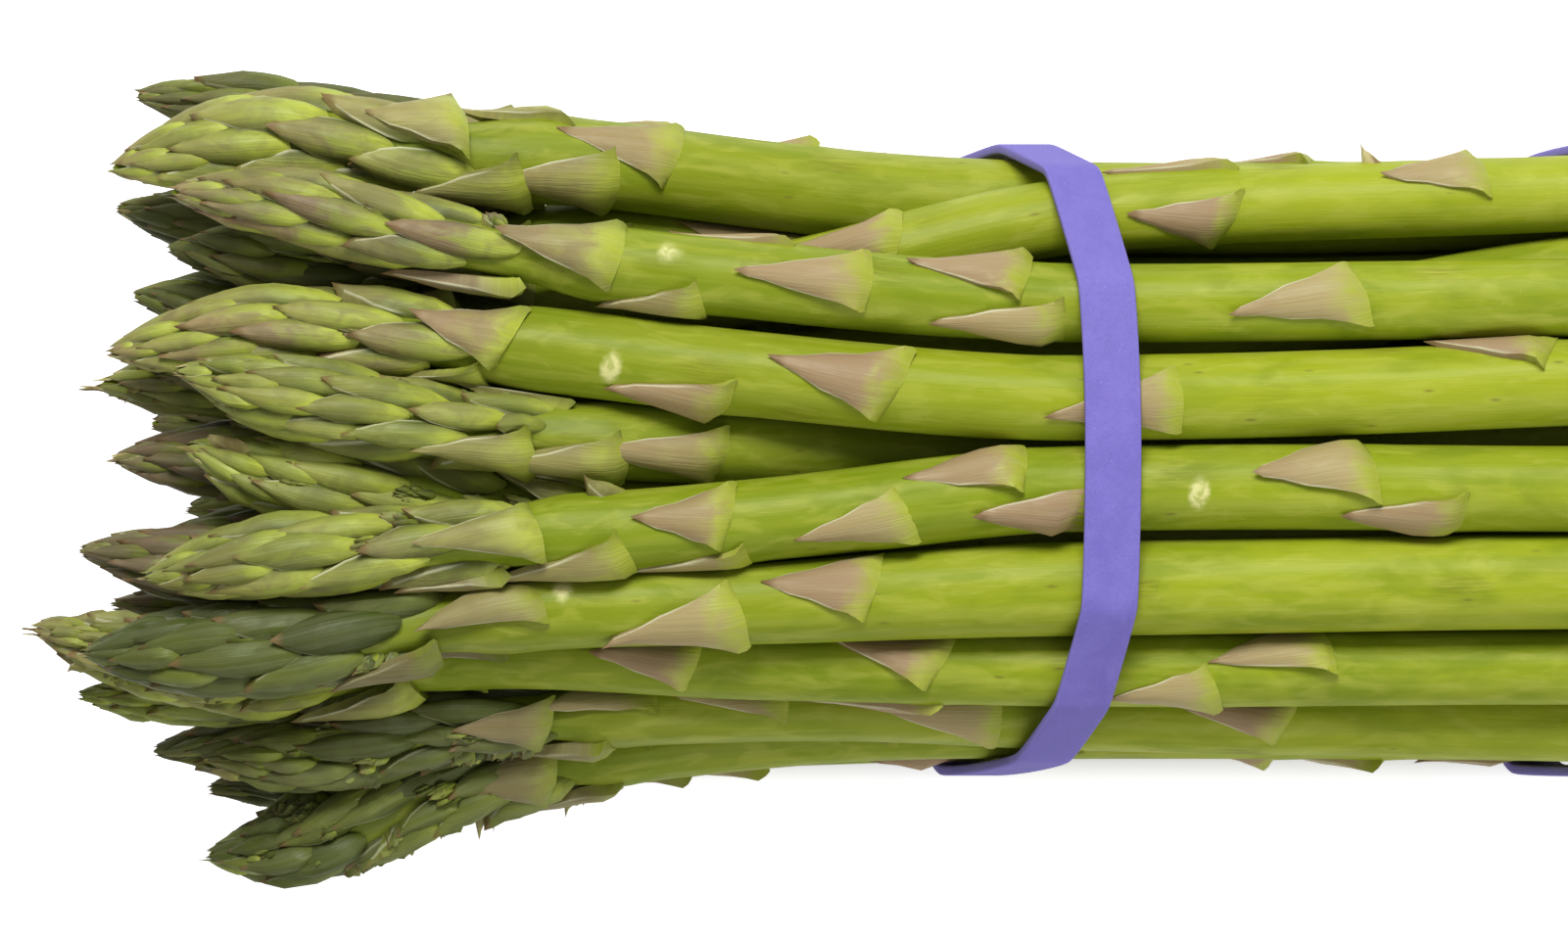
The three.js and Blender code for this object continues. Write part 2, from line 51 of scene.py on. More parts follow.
# tip x and y, y at the five places, row at the tip and the foot, girth at head, neck and foot,
# then light, mauve, plump and fray of the head, and the given leaves (mm from tip, degrees)
spears = [
    ([-103, 48], [45.2, 41, 36, 31, 33], [2, 1.1], [9, 9.6, 10.8], [0.3, 0.45, 0.1, 0], []),
    ([-105, 37], [40.2, 36, 32.4, 31.4, 33], [3.4, 2.1], [12.6, 11, 11.6], [0.98, 0.5, 0, 0.2],
     [(62, -30), (69, 26)]),
    ([-97, 34.8], [33.4, 27.8, 23.4, 21, 21.5], [4.2, 3.9], [9.8, 9.6, 10.4], [0.7, 0.85, 0, 0.3],
     [(55, 18), (66, -55), (86, 14), (106, 46), (111, -42), (148, 12)]),
    ([-105, 32.2], [29.5, 28, 24, 22, 24], [2.6, 1.2], [10, 9.6, 10.8], [0.25, 0.3, 0.3, 0.8], []),
    ([-98, 26], [24.5, 24, 23, 22.5, 21], [3.1, 2.1], [10, 9.6, 10.6], [0.3, 0.4, 0.1, 0.2], []),
    ([-103, 21.5], [19.8, 19.2, 24.6, 32, 34.4], [2.7, 3.2], [9.6, 10.4, 12.6], [0.3, 0.3, 0, 0.2],
     [(97, 30), (138, -25), (170, 45)]),
    ([-105, 14.1], [16.6, 14, 10.6, 8.5, 11.2], [3.7, 4.1], [10.8, 11.8, 13], [0.98, 0.75, 0.1, 0.3],
     [(50, 12), (77, -52), (98, 5), (133, -4), (180, 70)]),
    ([-96, 11.8], [8.4, 3, -1.2, 0, 4], [4.3, 2.8], [10, 9.6, 10.8], [0.75, 0.3, 0.35, 0.3],
     [(54, -30), (66, -14)]),
    ([-107, 9.8], [11, 13.4, 15.4, 15, 25], [2.8, 3], [9.6, 10, 11.2], [0.5, 0.5, 0.3, 1], []),
    ([-105, 4], [4, 6, 7, 9, 15], [3.2, 2], [10.8, 10, 10.8], [0.4, 0.9, 0, 0.5], []),
    ([-95.6, 3.4], [-0.2, -2.6, -6.4, -8.6, -8], [3.7, 3], [11.4, 9.8, 10.8], [0.85, 0.2, 0.4, 0.7], []),
    ([-100, -7.4], [-6.6, -6, -3, -1, 3], [2.6, 2], [9, 9.8, 10.6], [0.3, 0.6, 0, 0.3], []),
    ([-109, -10.2], [-13.4, -14, -15, -18, -16], [3.3, 2.8], [10.4, 9.4, 10.2], [0.3, 1, 0, 0], []),
    ([-100, -13], [-10.6, -9, -6.5, -2.4, -2.4], [4.3, 4.1], [10.8, 10, 11.6], [0.75, 0.4, 0.1, 0.2],
     [(48, 4), (59, -48), (72, 10), (74, -82), (94, -16), (109, 45), (118, -35), (152, 33), (163, -52)]),
    ([-105.6, -16.8], [-18, -15, -12, -11, -10], [2.4, 1.9], [8.6, 9.4, 10.4], [0.4, 0.8, 0, 0.2], []),
    ([-115, -20.4], [-26.4, -22.5, -22.8, -24.2, -24.6], [3.1, 3.4], [9.6, 9.2, 10.4],
     [0.7, 0.5, 0.8, 0.9], [(83, 2), (114, 18), (148, -32), (162, 41)]),
    ([-107.8, -22.4], [-21.4, -17.4, -16.5, -14.6, -13.8], [4.1, 3.9], [12, 9.6, 12.2],
     [0.1, 0.2, 0.35, 0.1], [(56, 28), (81, -18), (98, 20)]),
    ([-110, -30], [-29.4, -26, -25, -23, -20], [2.2, 1.8], [8.4, 8.8, 10], [0.6, 0.1, 0.2, 0], []),
    ([-101, -35.6], [-34, -31, -29.4, -27.5, -26], [1.9, 1.1], [9, 8.8, 9.8], [0.2, 0.4, 0.2, 0], []),
    ([-94, -34.6], [-34.2, -29, -28.4, -30.2, -32], [2.9, 2.6], [10, 9, 10], [0.22, 0.35, 0.7, 0.1],
     [(73, 28), (100, -12), (137, 4)]),
    ([-94.4, -40.4], [-38.8, -35, -32.5, -32, -33], [1.2, 0.8], [8, 8.4, 9.4], [0.2, 0.4, 0.3, 0], []),
    ([-93.8, -47.8], [-46.2, -36.4, -31.6, -31, -32], [2.1, 1.6], [11.8, 9.2, 9.8],
     [0.27, 0.15, 1, 0.1], [(87, 12)]),
    ([-99, 22], [20.5, 19, 18, 19, 20], [0.5, 0.1], [9.8, 9.8, 10.8], [0.5, 0.4, 0.1, 0.2], []),
    ([-103, 6], [7, 8, 8, 8.5, 9], [-0.4, 0], [10, 10, 11], [0.4, 0.6, 0, 0.1], []),
    ([-97, -5], [-4, -2, -2.5, -2.5, -2.5], [1.2, 1], [9.4, 9.6, 10.6], [0.6, 0.3, 0.2, 0.3], []),
    ([-92, -9], [-8, -5, -3.5, -3, -3], [-0.4, 0], [9.6, 9.8, 10.8], [0.7, 0.4, 0, 0.1], []),
    ([-100, -20], [-18, -15, -14, -13.5, -13], [1.1, 0.9], [9.2, 9.4, 10.4], [0.3, 0.5, 0.3, 0.2], []),
    ([-96, -27], [-24, -18, -16, -14.5, -14], [-0.4, 0], [9.2, 9.2, 10.4], [0.6, 0.5, 0.1, 0], []),
    ([-90, 35], [33, 29, 27, 26, 27], [0.2, 0.9], [9.2, 9.2, 10.4], [0.5, 0.5, 0.2, 0.1], []),
]
spearCount = len(spears)
tipX = np.array([s[0][0] for s in spears], float)
girth = np.array([s[3] for s in spears], float) / 2

outline = {"headTo": 20, "neckAt": 62, "swellFrom": 55, "footAt": 135,
           "nose": 0.7, "round": 1.8, "blunt": 0.8}


def mix(a, b, t):
    return a + (b - a) * t


def smooth(v, low, high):
    t = np.clip((v - low) / (high - low), 0, 1)
    return t * t * (3 - 2 * t)


# a fixed number between 0 and 1 for a spear and a place on it
def chance(spear, place):
    value = math.sin(spear * 127.1 + place * 311.7) * 43758.5453
    return value - math.floor(value)


# radius of a spear at a distance from its tip; k and fromTip may be arrays of one shape
def radiusAt(k, fromTip):
    head, neck, foot = girth[k, 0], girth[k, 1], girth[k, 2]
    before = 1 - np.clip(fromTip / outline["headTo"], 0, 1)
    nose = mix(outline["nose"], head, (1 - before ** outline["round"]) ** outline["blunt"])
    body = mix(head, neck, smooth(fromTip, outline["headTo"], outline["neckAt"]))
    return np.minimum(nose, mix(body, foot, smooth(fromTip, outline["swellFrom"], outline["footAt"])))


def lengthOf(k):
    return bundle["cutEnd"] - tipX[k] + mix(-bundle["uneven"], bundle["uneven"], chance(k, 1))


# where a spear's axis is laid as given, before the pressing
def laidAt(k, x):
    tip, ys, row = spears[k][:3]
    places = np.array([tip[0]] + bundle["placesX"], float)
    values = np.array([tip[1]] + ys, float)
    last = len(places) - 1
    i = np.clip(np.searchsorted(places, x, side="left") - 1, 0, last - 1)
    before = np.maximum(np.arange(last + 1) - 1, 0)
    after = np.minimum(np.arange(last + 1) + 1, last)
    slope = (values[after] - values[before]) / (places[after] - places[before])
    span = places[i + 1] - places[i]
    t = np.clip((x - places[i]) / span, 0, 1)
    bend = (t ** 3 - 2 * t ** 2 + t) * slope[i] + (t ** 3 - t ** 2) * slope[i + 1]
    y = (2 * t ** 3 - 3 * t ** 2 + 1) * values[i] + (3 * t ** 2 - 2 * t ** 3) * values[i + 1]
    y += bend * span
    height = mix(row[0], row[1], smooth(x, bundle["placesX"][0], bundle["placesX"][3]))
    rowZ = np.array(bundle["rowZ"], float)
    low = np.clip(np.floor(height).astype(int), 0, len(rowZ) - 2)
    return np.stack([y, mix(rowZ[low], rowZ[low + 1], height - low)], axis=-1)


# presses the spears apart in planes across the bundle, until none overlaps another
def pressApart():
    step, rounds = bundle["step"], bundle["rounds"]
    first = math.floor(tipX.min() / step)
    last = math.ceil((bundle["cutEnd"] + bundle["uneven"]) / step)
    planes = np.arange(first, last + 1) * float(step)
    laid = np.stack([laidAt(k, planes) for k in range(spearCount)])
    room = np.stack([radiusAt(k, planes - tipX[k]) for k in range(spearCount)]) + bundle["stemGap"]
    starts = np.array([np.argmax(planes > x - step) for x in tipX])
    index = np.arange(len(planes))
    live = index[None, :] >= starts[:, None]
    both = live[:, None, :] & live[None, :, :] & ~np.eye(spearCount, dtype=bool)[:, :, None]
    before = np.maximum(index[None, :] - 1, starts[:, None])
    after = np.minimum(index[None, :] + 1, len(planes) - 1)
    rows = np.arange(spearCount)[:, None]
    floor = mix(-bundle["headPress"], bundle["floorGap"], smooth(planes, *bundle["placesX"][1:3]))
    here = laid.copy()
    for turn in range(rounds + bundle["settle"]):
        pull = bundle["pull"] * (1 - turn / rounds) if turn < rounds else 0
        stiff = bundle["stiff"] * min(1, max(0, 1 - (turn - rounds) / bundle["stiffFor"]))
        apart = here[:, None] - here[None, :]
        far = np.maximum(np.hypot(apart[..., 0], apart[..., 1]), 1e-9)
        push = bundle["push"] * np.maximum(0, room[:, None] + room[None, :] - far) / far * both
        moved = here + (push[..., None] * apart).sum(axis=1)
        shift = here - laid
        eased = (shift[rows, before] + shift[rows, after + 0 * rows]) / 2 - shift
        moved += stiff * eased - pull * shift
        moved[..., 1] = np.maximum(moved[..., 1], floor + room)
        here = np.where(live[..., None], moved, here)
    return planes, here, starts


planes, here, starts = pressApart()


# y and z of a spear's axis in the plane at x
def axisAt(k, x):
    k = np.broadcast_to(k, np.shape(x))
    last = len(planes) - 1
    at = np.clip((x - planes[0]) / bundle["step"], 0, last)
    i = np.minimum(np.floor(at).astype(int), last - 1)
    t = (at - i)[..., None]
    a, b, c, d = (here[k, np.clip(i + n, starts[k], last)] for n in (-1, 0, 1, 2))
    return b + t / 2 * (c - a + t * (2 * a - 5 * b + 4 * c - d + t * (3 * (b - c) + d - a)))


# wraps a straight spear onto its axis: mm from the tip, angle from straight up, and radius
def placeOn(k, fromTip, angle, radius):
    x = tipX[k] + fromTip
    middle = axisAt(k, x)
    slope = (axisAt(k, x + 1) - axisAt(k, x - 1)) / 2
    forward = np.stack([np.ones_like(x), slope[..., 0], slope[..., 1]], axis=-1)
    forward /= np.linalg.norm(forward, axis=-1, keepdims=True)
    side = np.cross([0.0, 0.0, 1.0], forward)
    side /= np.linalg.norm(side, axis=-1, keepdims=True)
    up = np.cross(forward, side)
    out = np.concatenate([x[..., None], middle], axis=-1)
    out = out + (radius * np.cos(angle))[..., None] * up + (radius * np.sin(angle))[..., None] * side
    out[..., 2] = np.maximum(out[..., 2], 0)
    return out


# the frame is centred on the bundle's box, so the layout takes its shift from one CAD spear
tipMark = min((v.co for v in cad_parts["spear_16"].data.vertices), key=lambda co: co.x)
zero = np.zeros(1)
shift = np.array(tipMark) / mm - placeOn(15, zero, zero, zero)[0]
shift[2] = 0
print("layout pressed, shift", np.round(shift, 3))


def addNode(tree, kind, values=None, **settings):
    node = tree.nodes.new(kind)
    for name, value in settings.items():
        setattr(node, name, value)
    for name, value in (values or {}).items():
        socket = node.inputs[name]
        if hasattr(value, "is_linked"):
            tree.links.new(value, socket)
        else:
            socket.default_value = value
    return node


def attribute(tree, name, output="Fac"):
    return addNode(tree, "ShaderNodeAttribute", attribute_name=name).outputs[output]


def calculate(tree, operation, a, b=0.0, c=0.0, clamped=False):
    node = addNode(tree, "ShaderNodeMath", {0: a, 1: b, 2: c}, operation=operation, use_clamp=clamped)
    return node.outputs[0]


def times(tree, a, b, clamped=False):
    return calculate(tree, "MULTIPLY", a, b, clamped=clamped)


def combine(tree, x, y, z):
    return addNode(tree, "ShaderNodeCombineXYZ", {0: x, 1: y, 2: z}).outputs[0]


def noiseAt(tree, place, scale, detail, roughness=0.5, distortion=0.0):
    values = {"Vector": place, "Scale": scale, "Detail": detail,
              "Roughness": roughness, "Distortion": distortion}
    return addNode(tree, "ShaderNodeTexNoise", values).outputs["Fac"]


def ramp(tree, value, low, high, toLow=0.0, toHigh=1.0):
    values = {"Value": value, "From Min": low, "From Max": high, "To Min": toLow, "To Max": toHigh}
    return addNode(tree, "ShaderNodeMapRange", values, interpolation_type="SMOOTHSTEP").outputs["Result"]


def blend(tree, factor, a, b):
    a, b = ((*shade, 1) if isinstance(shade, tuple) else shade for shade in (a, b))
    return addNode(tree, "ShaderNodeMix", {0: factor, 6: a, 7: b}, data_type="RGBA").outputs[2]


# blends a shade in where a mask allows it
def tinted(tree, color, mask, amount, shade):
    return blend(tree, times(tree, mask, amount), color, shade)


# a shared shader group, with a place and numbers going in, and numbers coming out
def newGroup(name, inputs, outputs):
    group = bpy.data.node_groups.new(name, "ShaderNodeTree")
    group.interface.new_socket("Vector", in_out="INPUT", socket_type="NodeSocketVector")
    for label, value in inputs.items():
        socket = group.interface.new_socket(label, in_out="INPUT", socket_type="NodeSocketFloat")
        socket.default_value = value
    for label in outputs:
        group.interface.new_socket(label, in_out="OUTPUT", socket_type="NodeSocketFloat")
    start = group.nodes.new("NodeGroupInput")
    end = group.nodes.new("NodeGroupOutput")
    return group, start.outputs, end.inputs


def useGroup(tree, group, values):
    return addNode(tree, "ShaderNodeGroup", dict(enumerate(values)), node_tree=group).outputs


# fine lines that run along a spear or a scale
def fibreGroup():
    group, given, ends = newGroup("lengthwise fibre", {"Lines per mm": 3.0, "Line length": 12.0,
                                                       "Breaks": 0.5}, ["Line", "Strand"])
    parts = addNode(group, "ShaderNodeSeparateXYZ", {0: given["Vector"]}).outputs
    along = calculate(group, "DIVIDE", parts[0], given["Line length"])
    across = [times(group, parts[n], given["Lines per mm"]) for n in (1, 2)]
    place = combine(group, along, *across)
    fine = noiseAt(group, place, 1.0, 2.0, given["Breaks"])
    broad = noiseAt(group, place, 0.3, 1.0)
    group.links.new(ramp(group, fine, 0.36, 0.64), ends["Line"])
    group.links.new(ramp(group, broad, 0.35, 0.65), ends["Strand"])
    return group


def stretched(group, given):
    parts = addNode(group, "ShaderNodeSeparateXYZ", {0: given["Vector"]}).outputs
    return combine(group, calculate(group, "DIVIDE", parts[0], given["Stretch"]), parts[1], parts[2])


# soft uneven patches
def patchGroup():
    group, given, ends = newGroup("soft patches", {"Patch size": 6.0, "Stretch": 2.0, "Low": 0.45,
                                                   "High": 0.65}, ["Patch"])
    size = calculate(group, "DIVIDE", 1.0, given["Patch size"])
    noise = noiseAt(group, stretched(group, given), size, 3.0, 0.55, 0.6)
    group.links.new(ramp(group, noise, given["Low"], given["High"]), ends["Patch"])
    return group


# small separate marks, such as flecks, scratches and dust
def fleckGroup():
    group, given, ends = newGroup("flecks", {"Spacing": 2.0, "Fleck size": 0.2, "Share": 0.3,
                                             "Stretch": 1.0}, ["Fleck"])
    scale = calculate(group, "DIVIDE", 1.0, given["Spacing"])
    place = stretched(group, given)
    cells = addNode(group, "ShaderNodeTexVoronoi", {"Vector": place, "Scale": scale}).outputs
    spot = ramp(group, cells["Distance"], given["Fleck size"], 0.0)
    chosen = addNode(group, "ShaderNodeSeparateColor", {0: cells["Color"]}).outputs[0]
    kept = calculate(group, "LESS_THAN", chosen, given["Share"])
    group.links.new(times(group, spot, kept), ends["Fleck"])
    return group


fibre, patches, flecks = fibreGroup(), patchGroup(), fleckGroup()


def softPatch(tree, *values):  # place, size, stretch, low and high
    return useGroup(tree, patches, values)[0]


def fleckMask(tree, *values):  # place, spacing, size, share and stretch
    return useGroup(tree, flecks, values)[0]


def fineLines(tree, *values):  # place, lines per mm, their length and breaks
    return useGroup(tree, fibre, values)


def newMaterial(name, settings):
    material = bpy.data.materials.new(name)
    material.use_nodes = True
    tree = material.node_tree
    surface = next(n for n in tree.nodes if n.type == "BSDF_PRINCIPLED")
    for label, value in settings.items():
        surface.inputs[label].default_value = value
    return material, tree, surface


def finishSkin(tree, surface, color, roughness, height, strength, depth):
    bump = addNode(tree, "ShaderNodeBump", {"Strength": strength, "Distance": depth, "Height": height})
    for label, output in (("Base Color", color), ("Roughness", roughness), ("Normal", bump.outputs[0])):
        tree.links.new(output, surface.inputs[label])


stemLook = {
    "darkNearHeadAndCoreShade": (0.115, 0.145, 0.01), "upper": (0.205, 0.25, 0.01), "lower": (0.305, 0.355, 0.014),
    "deepGreen": (0.155, 0.215, 0.004), "straw": (0.45, 0.46, 0.08), "brown": (0.11, 0.075, 0.015),
    "scarPale": (0.56, 0.55, 0.22), "scarBrown": (0.3, 0.19, 0.03),
    "cutPale": (0.62, 0.66, 0.34), "cutPith": (0.74, 0.75, 0.5),
}


def makeStemSkin():
    material, tree, surface = newMaterial("stem skin", {"IOR": 1.42, "Specular IOR Level": 0.2})
    grown = attribute(tree, "grown", "Vector")
    down = calculate(tree, "DIVIDE", attribute(tree, "fromTip"), 200.0)
    look = stemLook
    # darker green towards the head: partly the stem's own tone, partly painted shade for the core that
    # shows between the head's scales
    color = blend(tree, ramp(tree, down, 0.16, 0.34), look["darkNearHeadAndCoreShade"], look["upper"])
    color = blend(tree, ramp(tree, down, 0.33, 0.76), color, look["lower"])
    patch = softPatch(tree, grown, 7.0, 2.2, 0.4, 0.68)
    deep = calculate(tree, "ADD", times(tree, patch, 0.5), times(tree, attribute(tree, "tint"), 0.5))
    color = blend(tree, deep, color, look["deepGreen"])
    lines = fineLines(tree, grown, 3.0, 6.0, 0.7)
    for mask, amount, shade in (
            (softPatch(tree, grown, 2.3, 3.2, 0.47, 0.66), 0.24, "straw"),  # mottle
            (lines["Strand"], 0.13, "straw"), (lines["Line"], 0.1, "deepGreen"),
            (fleckMask(tree, grown, 2.2, 0.15, 0.36, 3.4), 0.6, "brown"),  # scratches
            (times(tree, fleckMask(tree, grown, 6.5, 0.4, 0.3, 2.2), lines["Line"]), 0.4, "brown"),
            (fleckMask(tree, grown, 1.6, 0.07, 0.3), 0.5, "scarPale")):  # dust
        color = tinted(tree, color, mask, amount, look[shade])
    scar = attribute(tree, "scar")
    wound = softPatch(tree, grown, 1.6, 1.0, 0.35, 0.6)
    ring = times(tree, ramp(tree, scar, 0.1, 0.45), ramp(tree, scar, 1.0, 0.75, 0.35, 1))
    ring = times(tree, ring, ramp(tree, wound, 0, 1, 0.45, 1.0))
    color = blend(tree, ring, color, look["scarPale"])
    color = blend(tree, ramp(tree, scar, 0.86, 1.0, 0.0, 0.5), color, look["scarBrown"])
    # the cut end: pale pith with darker strands, and a green rim
    cut = attribute(tree, "cutFace")
    strands = fleckMask(tree, grown, 0.9, 0.34, 0.7, 40.0)
    pith = blend(tree, ramp(tree, cut, 0.55, 1.0), look["cutPale"], look["cutPith"])
    pith = tinted(tree, pith, strands, 0.6, look["upper"])
    color = blend(tree, ramp(tree, cut, 0.08, 0.22), color, pith)
    shine = ramp(tree, patch, 0, 1, 0.42, 0.54)
    finishSkin(tree, surface, color, shine, lines["Line"], 0.12, 0.00012)
    return material


scaleLook = {
    "dark": (0.05, 0.068, 0.008), "bright": (0.275, 0.325, 0.045), "baseGreenAndHighlight": (0.41, 0.46, 0.05),
    "mauve": (0.295, 0.2, 0.105), "darkMauve": (0.075, 0.055, 0.034),
    "bract": (0.345, 0.275, 0.115), "lip": (0.33, 0.37, 0.035), "creviceShadeAndDarkMark": (0.03, 0.044, 0.005),
    "membrane": (0.56, 0.55, 0.36), "tipBrown": (0.17, 0.1, 0.04), "straw": (0.46, 0.4, 0.17),
}


def makeScaleSkin():
    material, tree, surface = newMaterial("scale skin", {"IOR": 1.4, "Specular IOR Level": 0.32})
    look = scaleLook
    ahead, across, pick, light, mauve, bract = (attribute(tree, name) for name in (
        "ahead", "across", "pick", "light", "mauve", "bract"))
    grown = attribute(tree, "grown", "Vector")
    edge = calculate(tree, "ABSOLUTE", across)
    lines = fineLines(tree, grown, 4.5, 8.0, 0.55)
    patch = softPatch(tree, grown, 2.6, 1.7, 0.38, 0.64)
    # pods of the head: green at the base with a painted highlight there, blushed mauve towards the tip,
    # and painted shade at their sides
    green = blend(tree, light, look["dark"], look["bright"])
    # painted highlight: the raised base of each pod turns paler yellow-green on the lighter heads, partly
    # the scale's own greener base
    glow = times(tree, ramp(tree, ahead, 0.5, 0.05), ramp(tree, light, 0, 0.9))
    green = tinted(tree, green, glow, 0.9, look["baseGreenAndHighlight"])
    blush = blend(tree, light, look["darkMauve"], look["mauve"])
    along = ramp(tree, calculate(tree, "ADD", ahead, times(tree, patch, 0.35)), 0.22, 0.9)
    amount = times(tree, along, mauve, clamped=True)
    amount = times(tree, amount, ramp(tree, pick, 0, 1, 0.55, 1.25), clamped=True)
    pod = blend(tree, amount, green, blush)
    pod = tinted(tree, pod, patch, 0.26, look["creviceShadeAndDarkMark"])
    # painted shade: the sides of each pod's lower half darken as if shaded where they tuck under the
    # neighbouring scales; the same dark colour also marks real mottling and fibre lines
    deep = times(tree, ramp(tree, edge, 0.4, 1.0), ramp(tree, ahead, 0.75, 0.3))
    pod = tinted(tree, pod, deep, 0.72, look["creviceShadeAndDarkMark"])
    # leaves of the stem: tan, with a yellow-green lip
    leaf = blend(tree, ramp(tree, pick, 0, 1), look["bract"], look["mauve"])
    worn = calculate(tree, "ADD", ahead, times(tree, patch, 0.1))
    leaf = blend(tree, ramp(tree, worn, 0.03, 0.36), look["lip"], leaf)
    leaf = blend(tree, ramp(tree, worn, 0.35, 1.0, 0.0, 0.6), leaf, look["mauve"])
    color = blend(tree, bract, pod, leaf)
    darker = times(tree, lines["Line"], ramp(tree, bract, 0, 1, 0.1, 0.05))
    color = blend(tree, darker, color, look["creviceShadeAndDarkMark"])
    color = tinted(tree, color, lines["Strand"], 0.05, look["membrane"])
    # thin pale margin, and a dry point
    rim = times(tree, ramp(tree, edge, 0.88, 1.0), ramp(tree, ahead, 0.2, 0.5))
    rim = times(tree, rim, ramp(tree, light, 0, 1, 0.25, 0.8))
    color = blend(tree, rim, color, look["membrane"])
    dry = ramp(tree, calculate(tree, "ADD", ahead, times(tree, pick, 0.08)), 0.9, 1.0)
    color = tinted(tree, color, dry, 0.75, look["tipBrown"])
    withered = blend(tree, patch, look["straw"], look["tipBrown"])
    color = blend(tree, attribute(tree, "dry"), color, withered)
    shine = ramp(tree, patch, 0, 1, 0.42, 0.58)
    finishSkin(tree, surface, color, shine, lines["Line"], 0.25, 0.00015)
    return material


bandLook = {"violet": (0.128, 0.102, 0.405), "pale": (0.21, 0.178, 0.53), "deep": (0.085, 0.068, 0.29),
            "speck": (0.45, 0.42, 0.72)}


def makeBandRubber():
    material, tree, surface = newMaterial("band rubber", {"IOR": 1.5})
    look = bandLook
    place = attribute(tree, "grown", "Vector")
    grain = fleckMask(tree, place, 0.22, 0.6, 0.6)
    cloud = softPatch(tree, place, 4.0, 1.0, 0.3, 0.7)
    color = blend(tree, times(tree, cloud, 0.4), look["violet"], look["pale"])
    for mask, amount, shade in (
            (grain, 0.34, "deep"), (fleckMask(tree, place, 0.8, 0.16, 0.25), 0.5, "speck"),
            (ramp(tree, attribute(tree, "side"), 0.88, 1.0), 0.55, "pale")):
        color = tinted(tree, color, mask, amount, look[shade])
    finishSkin(tree, surface, color, ramp(tree, cloud, 0, 1, 0.62, 0.78), grain, 0.4, 0.0001)
    return material


stemSkin, scaleSkin, bandRubber = makeStemSkin(), makeScaleSkin(), makeBandRubber()
print("materials made")


def addObject(name, data):
    thing = bpy.data.objects.new(name, data)
    bpy.context.collection.objects.link(thing)
    return thing


# a mesh with values at its points, one or three for each
def newMesh(name, points, faces, layers):
    mesh = bpy.data.meshes.new(name)
    mesh.from_pydata(points, [], faces)
    for label, values in layers.items():
        values = np.asarray(values, float)
        kind, field = ("FLOAT_VECTOR", "vector") if values.ndim == 2 else ("FLOAT", "value")
        mesh.attributes.new(label, kind, "POINT").data.foreach_set(field, values.ravel())
    return mesh


# one scale with its base at x = 0 and its tip at x = -1, one wide to each side of y = 0, closed
# underneath; the height above the sheet is in mm
def makeCard(name, ahead, across, width, baseEdge, height, sunk):
    columns = len(across)
    tip = len(ahead) * columns
    last = tip - columns
    marks = [(a, v) for a in ahead for v in across] + [(1, 0)]
    points = [(baseEdge(v) * (1 - a) ** 2 - a, v * width(a), height(a, v)) for a, v in marks]
    faces = [(n + j, n + j + 1, n + j + 1 + columns, n + j + columns)
             for n in range(0, last, columns) for j in range(columns - 1)]
    faces += [(last + j, last + j + 1, tip) for j in range(columns - 1)]
    # the underside joins a lower copy of the rim
    ends = [n for left in range(columns, tip, columns) for n in (left, left + columns - 1)]
    rim = list(range(columns)) + ends
    under = {n: tip + 1 + i for i, n in enumerate(rim)}
    for n in rim:
        (x, y, z), (a, v) = points[n], marks[n]
        points.append((x - 0.02 * (1 - a), y * 0.97, sunk(a, z)))
        marks.append((a, 0.4 * v))
    faces += [(j + 1, j, under[j], under[j + 1]) for j in range(columns - 1)]
    for left in range(0, last, columns):
        right, nextLeft, nextRight = left + columns - 1, left + columns, left + 2 * columns - 1
        faces.append((left, nextLeft, under[nextLeft], under[left]))
        faces.append((nextRight, right, under[right], under[nextRight]))
        if left:
            faces.append((under[left], under[nextLeft], under[nextRight], under[right]))
    faces.append(tuple(under[n] for n in [*range(columns - 1, -1, -1), *ends[:2]]))
    right = tip - 1
    faces += [(last, tip, under[last]), (tip, right, under[right]), (under[last], tip, under[right])]
    layers = {"ahead": [a for a, v in marks], "across": [v for a, v in marks]}
    return bpy.data.objects.new(name, newMesh(name, points, faces, layers))


def podHeight(a, v):
    swell = smooth(a, -0.14, 0.2) * (1 - 0.8 * smooth(a, 0.4, 1.0))
    return 0.05 + 1.55 * swell * (1 - abs(v) ** 1.9) + 1.55 * a


def leafHeight(a, v):
    crown = mix(0.14, 1.22, smooth(a, -0.02, 0.14)) * mix(1, 0.24, smooth(a, 0.18, 0.85))
    ears = 0.5 * abs(v) ** 4 * smooth(a, -0.04, 0.05) * (1 - smooth(a, 0.05, 0.22))
    return crown * (1 - mix(0.2, 0.62, smooth(a, 0.05, 0.4)) * abs(v) ** 2.4) + ears


podCard = makeCard(
    "pod card", [0, 0.05, 0.14, 0.26, 0.4, 0.56, 0.72, 0.87], [-1, -0.75, -0.4, 0, 0.4, 0.75, 1],
    lambda a: math.sin(math.pi * (0.27 + 0.73 * a)) ** 0.9 * (1 - 0.25 * a * a),
    lambda v: 0.15 * (1 - v * v), podHeight, lambda a, z: -0.9)
leafCard = makeCard(
    "leaf card", [0, 0.03, 0.08, 0.18, 0.34, 0.54, 0.74, 0.9],
    [-1, -0.86, -0.6, -0.3, 0, 0.3, 0.6, 0.86, 1],
    lambda a: (0.8 + 0.2 * (1 - smooth(a, 0, 0.13))) * (1 - a) ** (0.53 + 0.36 * a),
    lambda v: 0.07 * (1 - v * v) + 0.02 * v + 0.04 * v ** 4, leafHeight,
    lambda a, z: mix(-0.7, z - 0.3, smooth(a, 0.6, 1)))


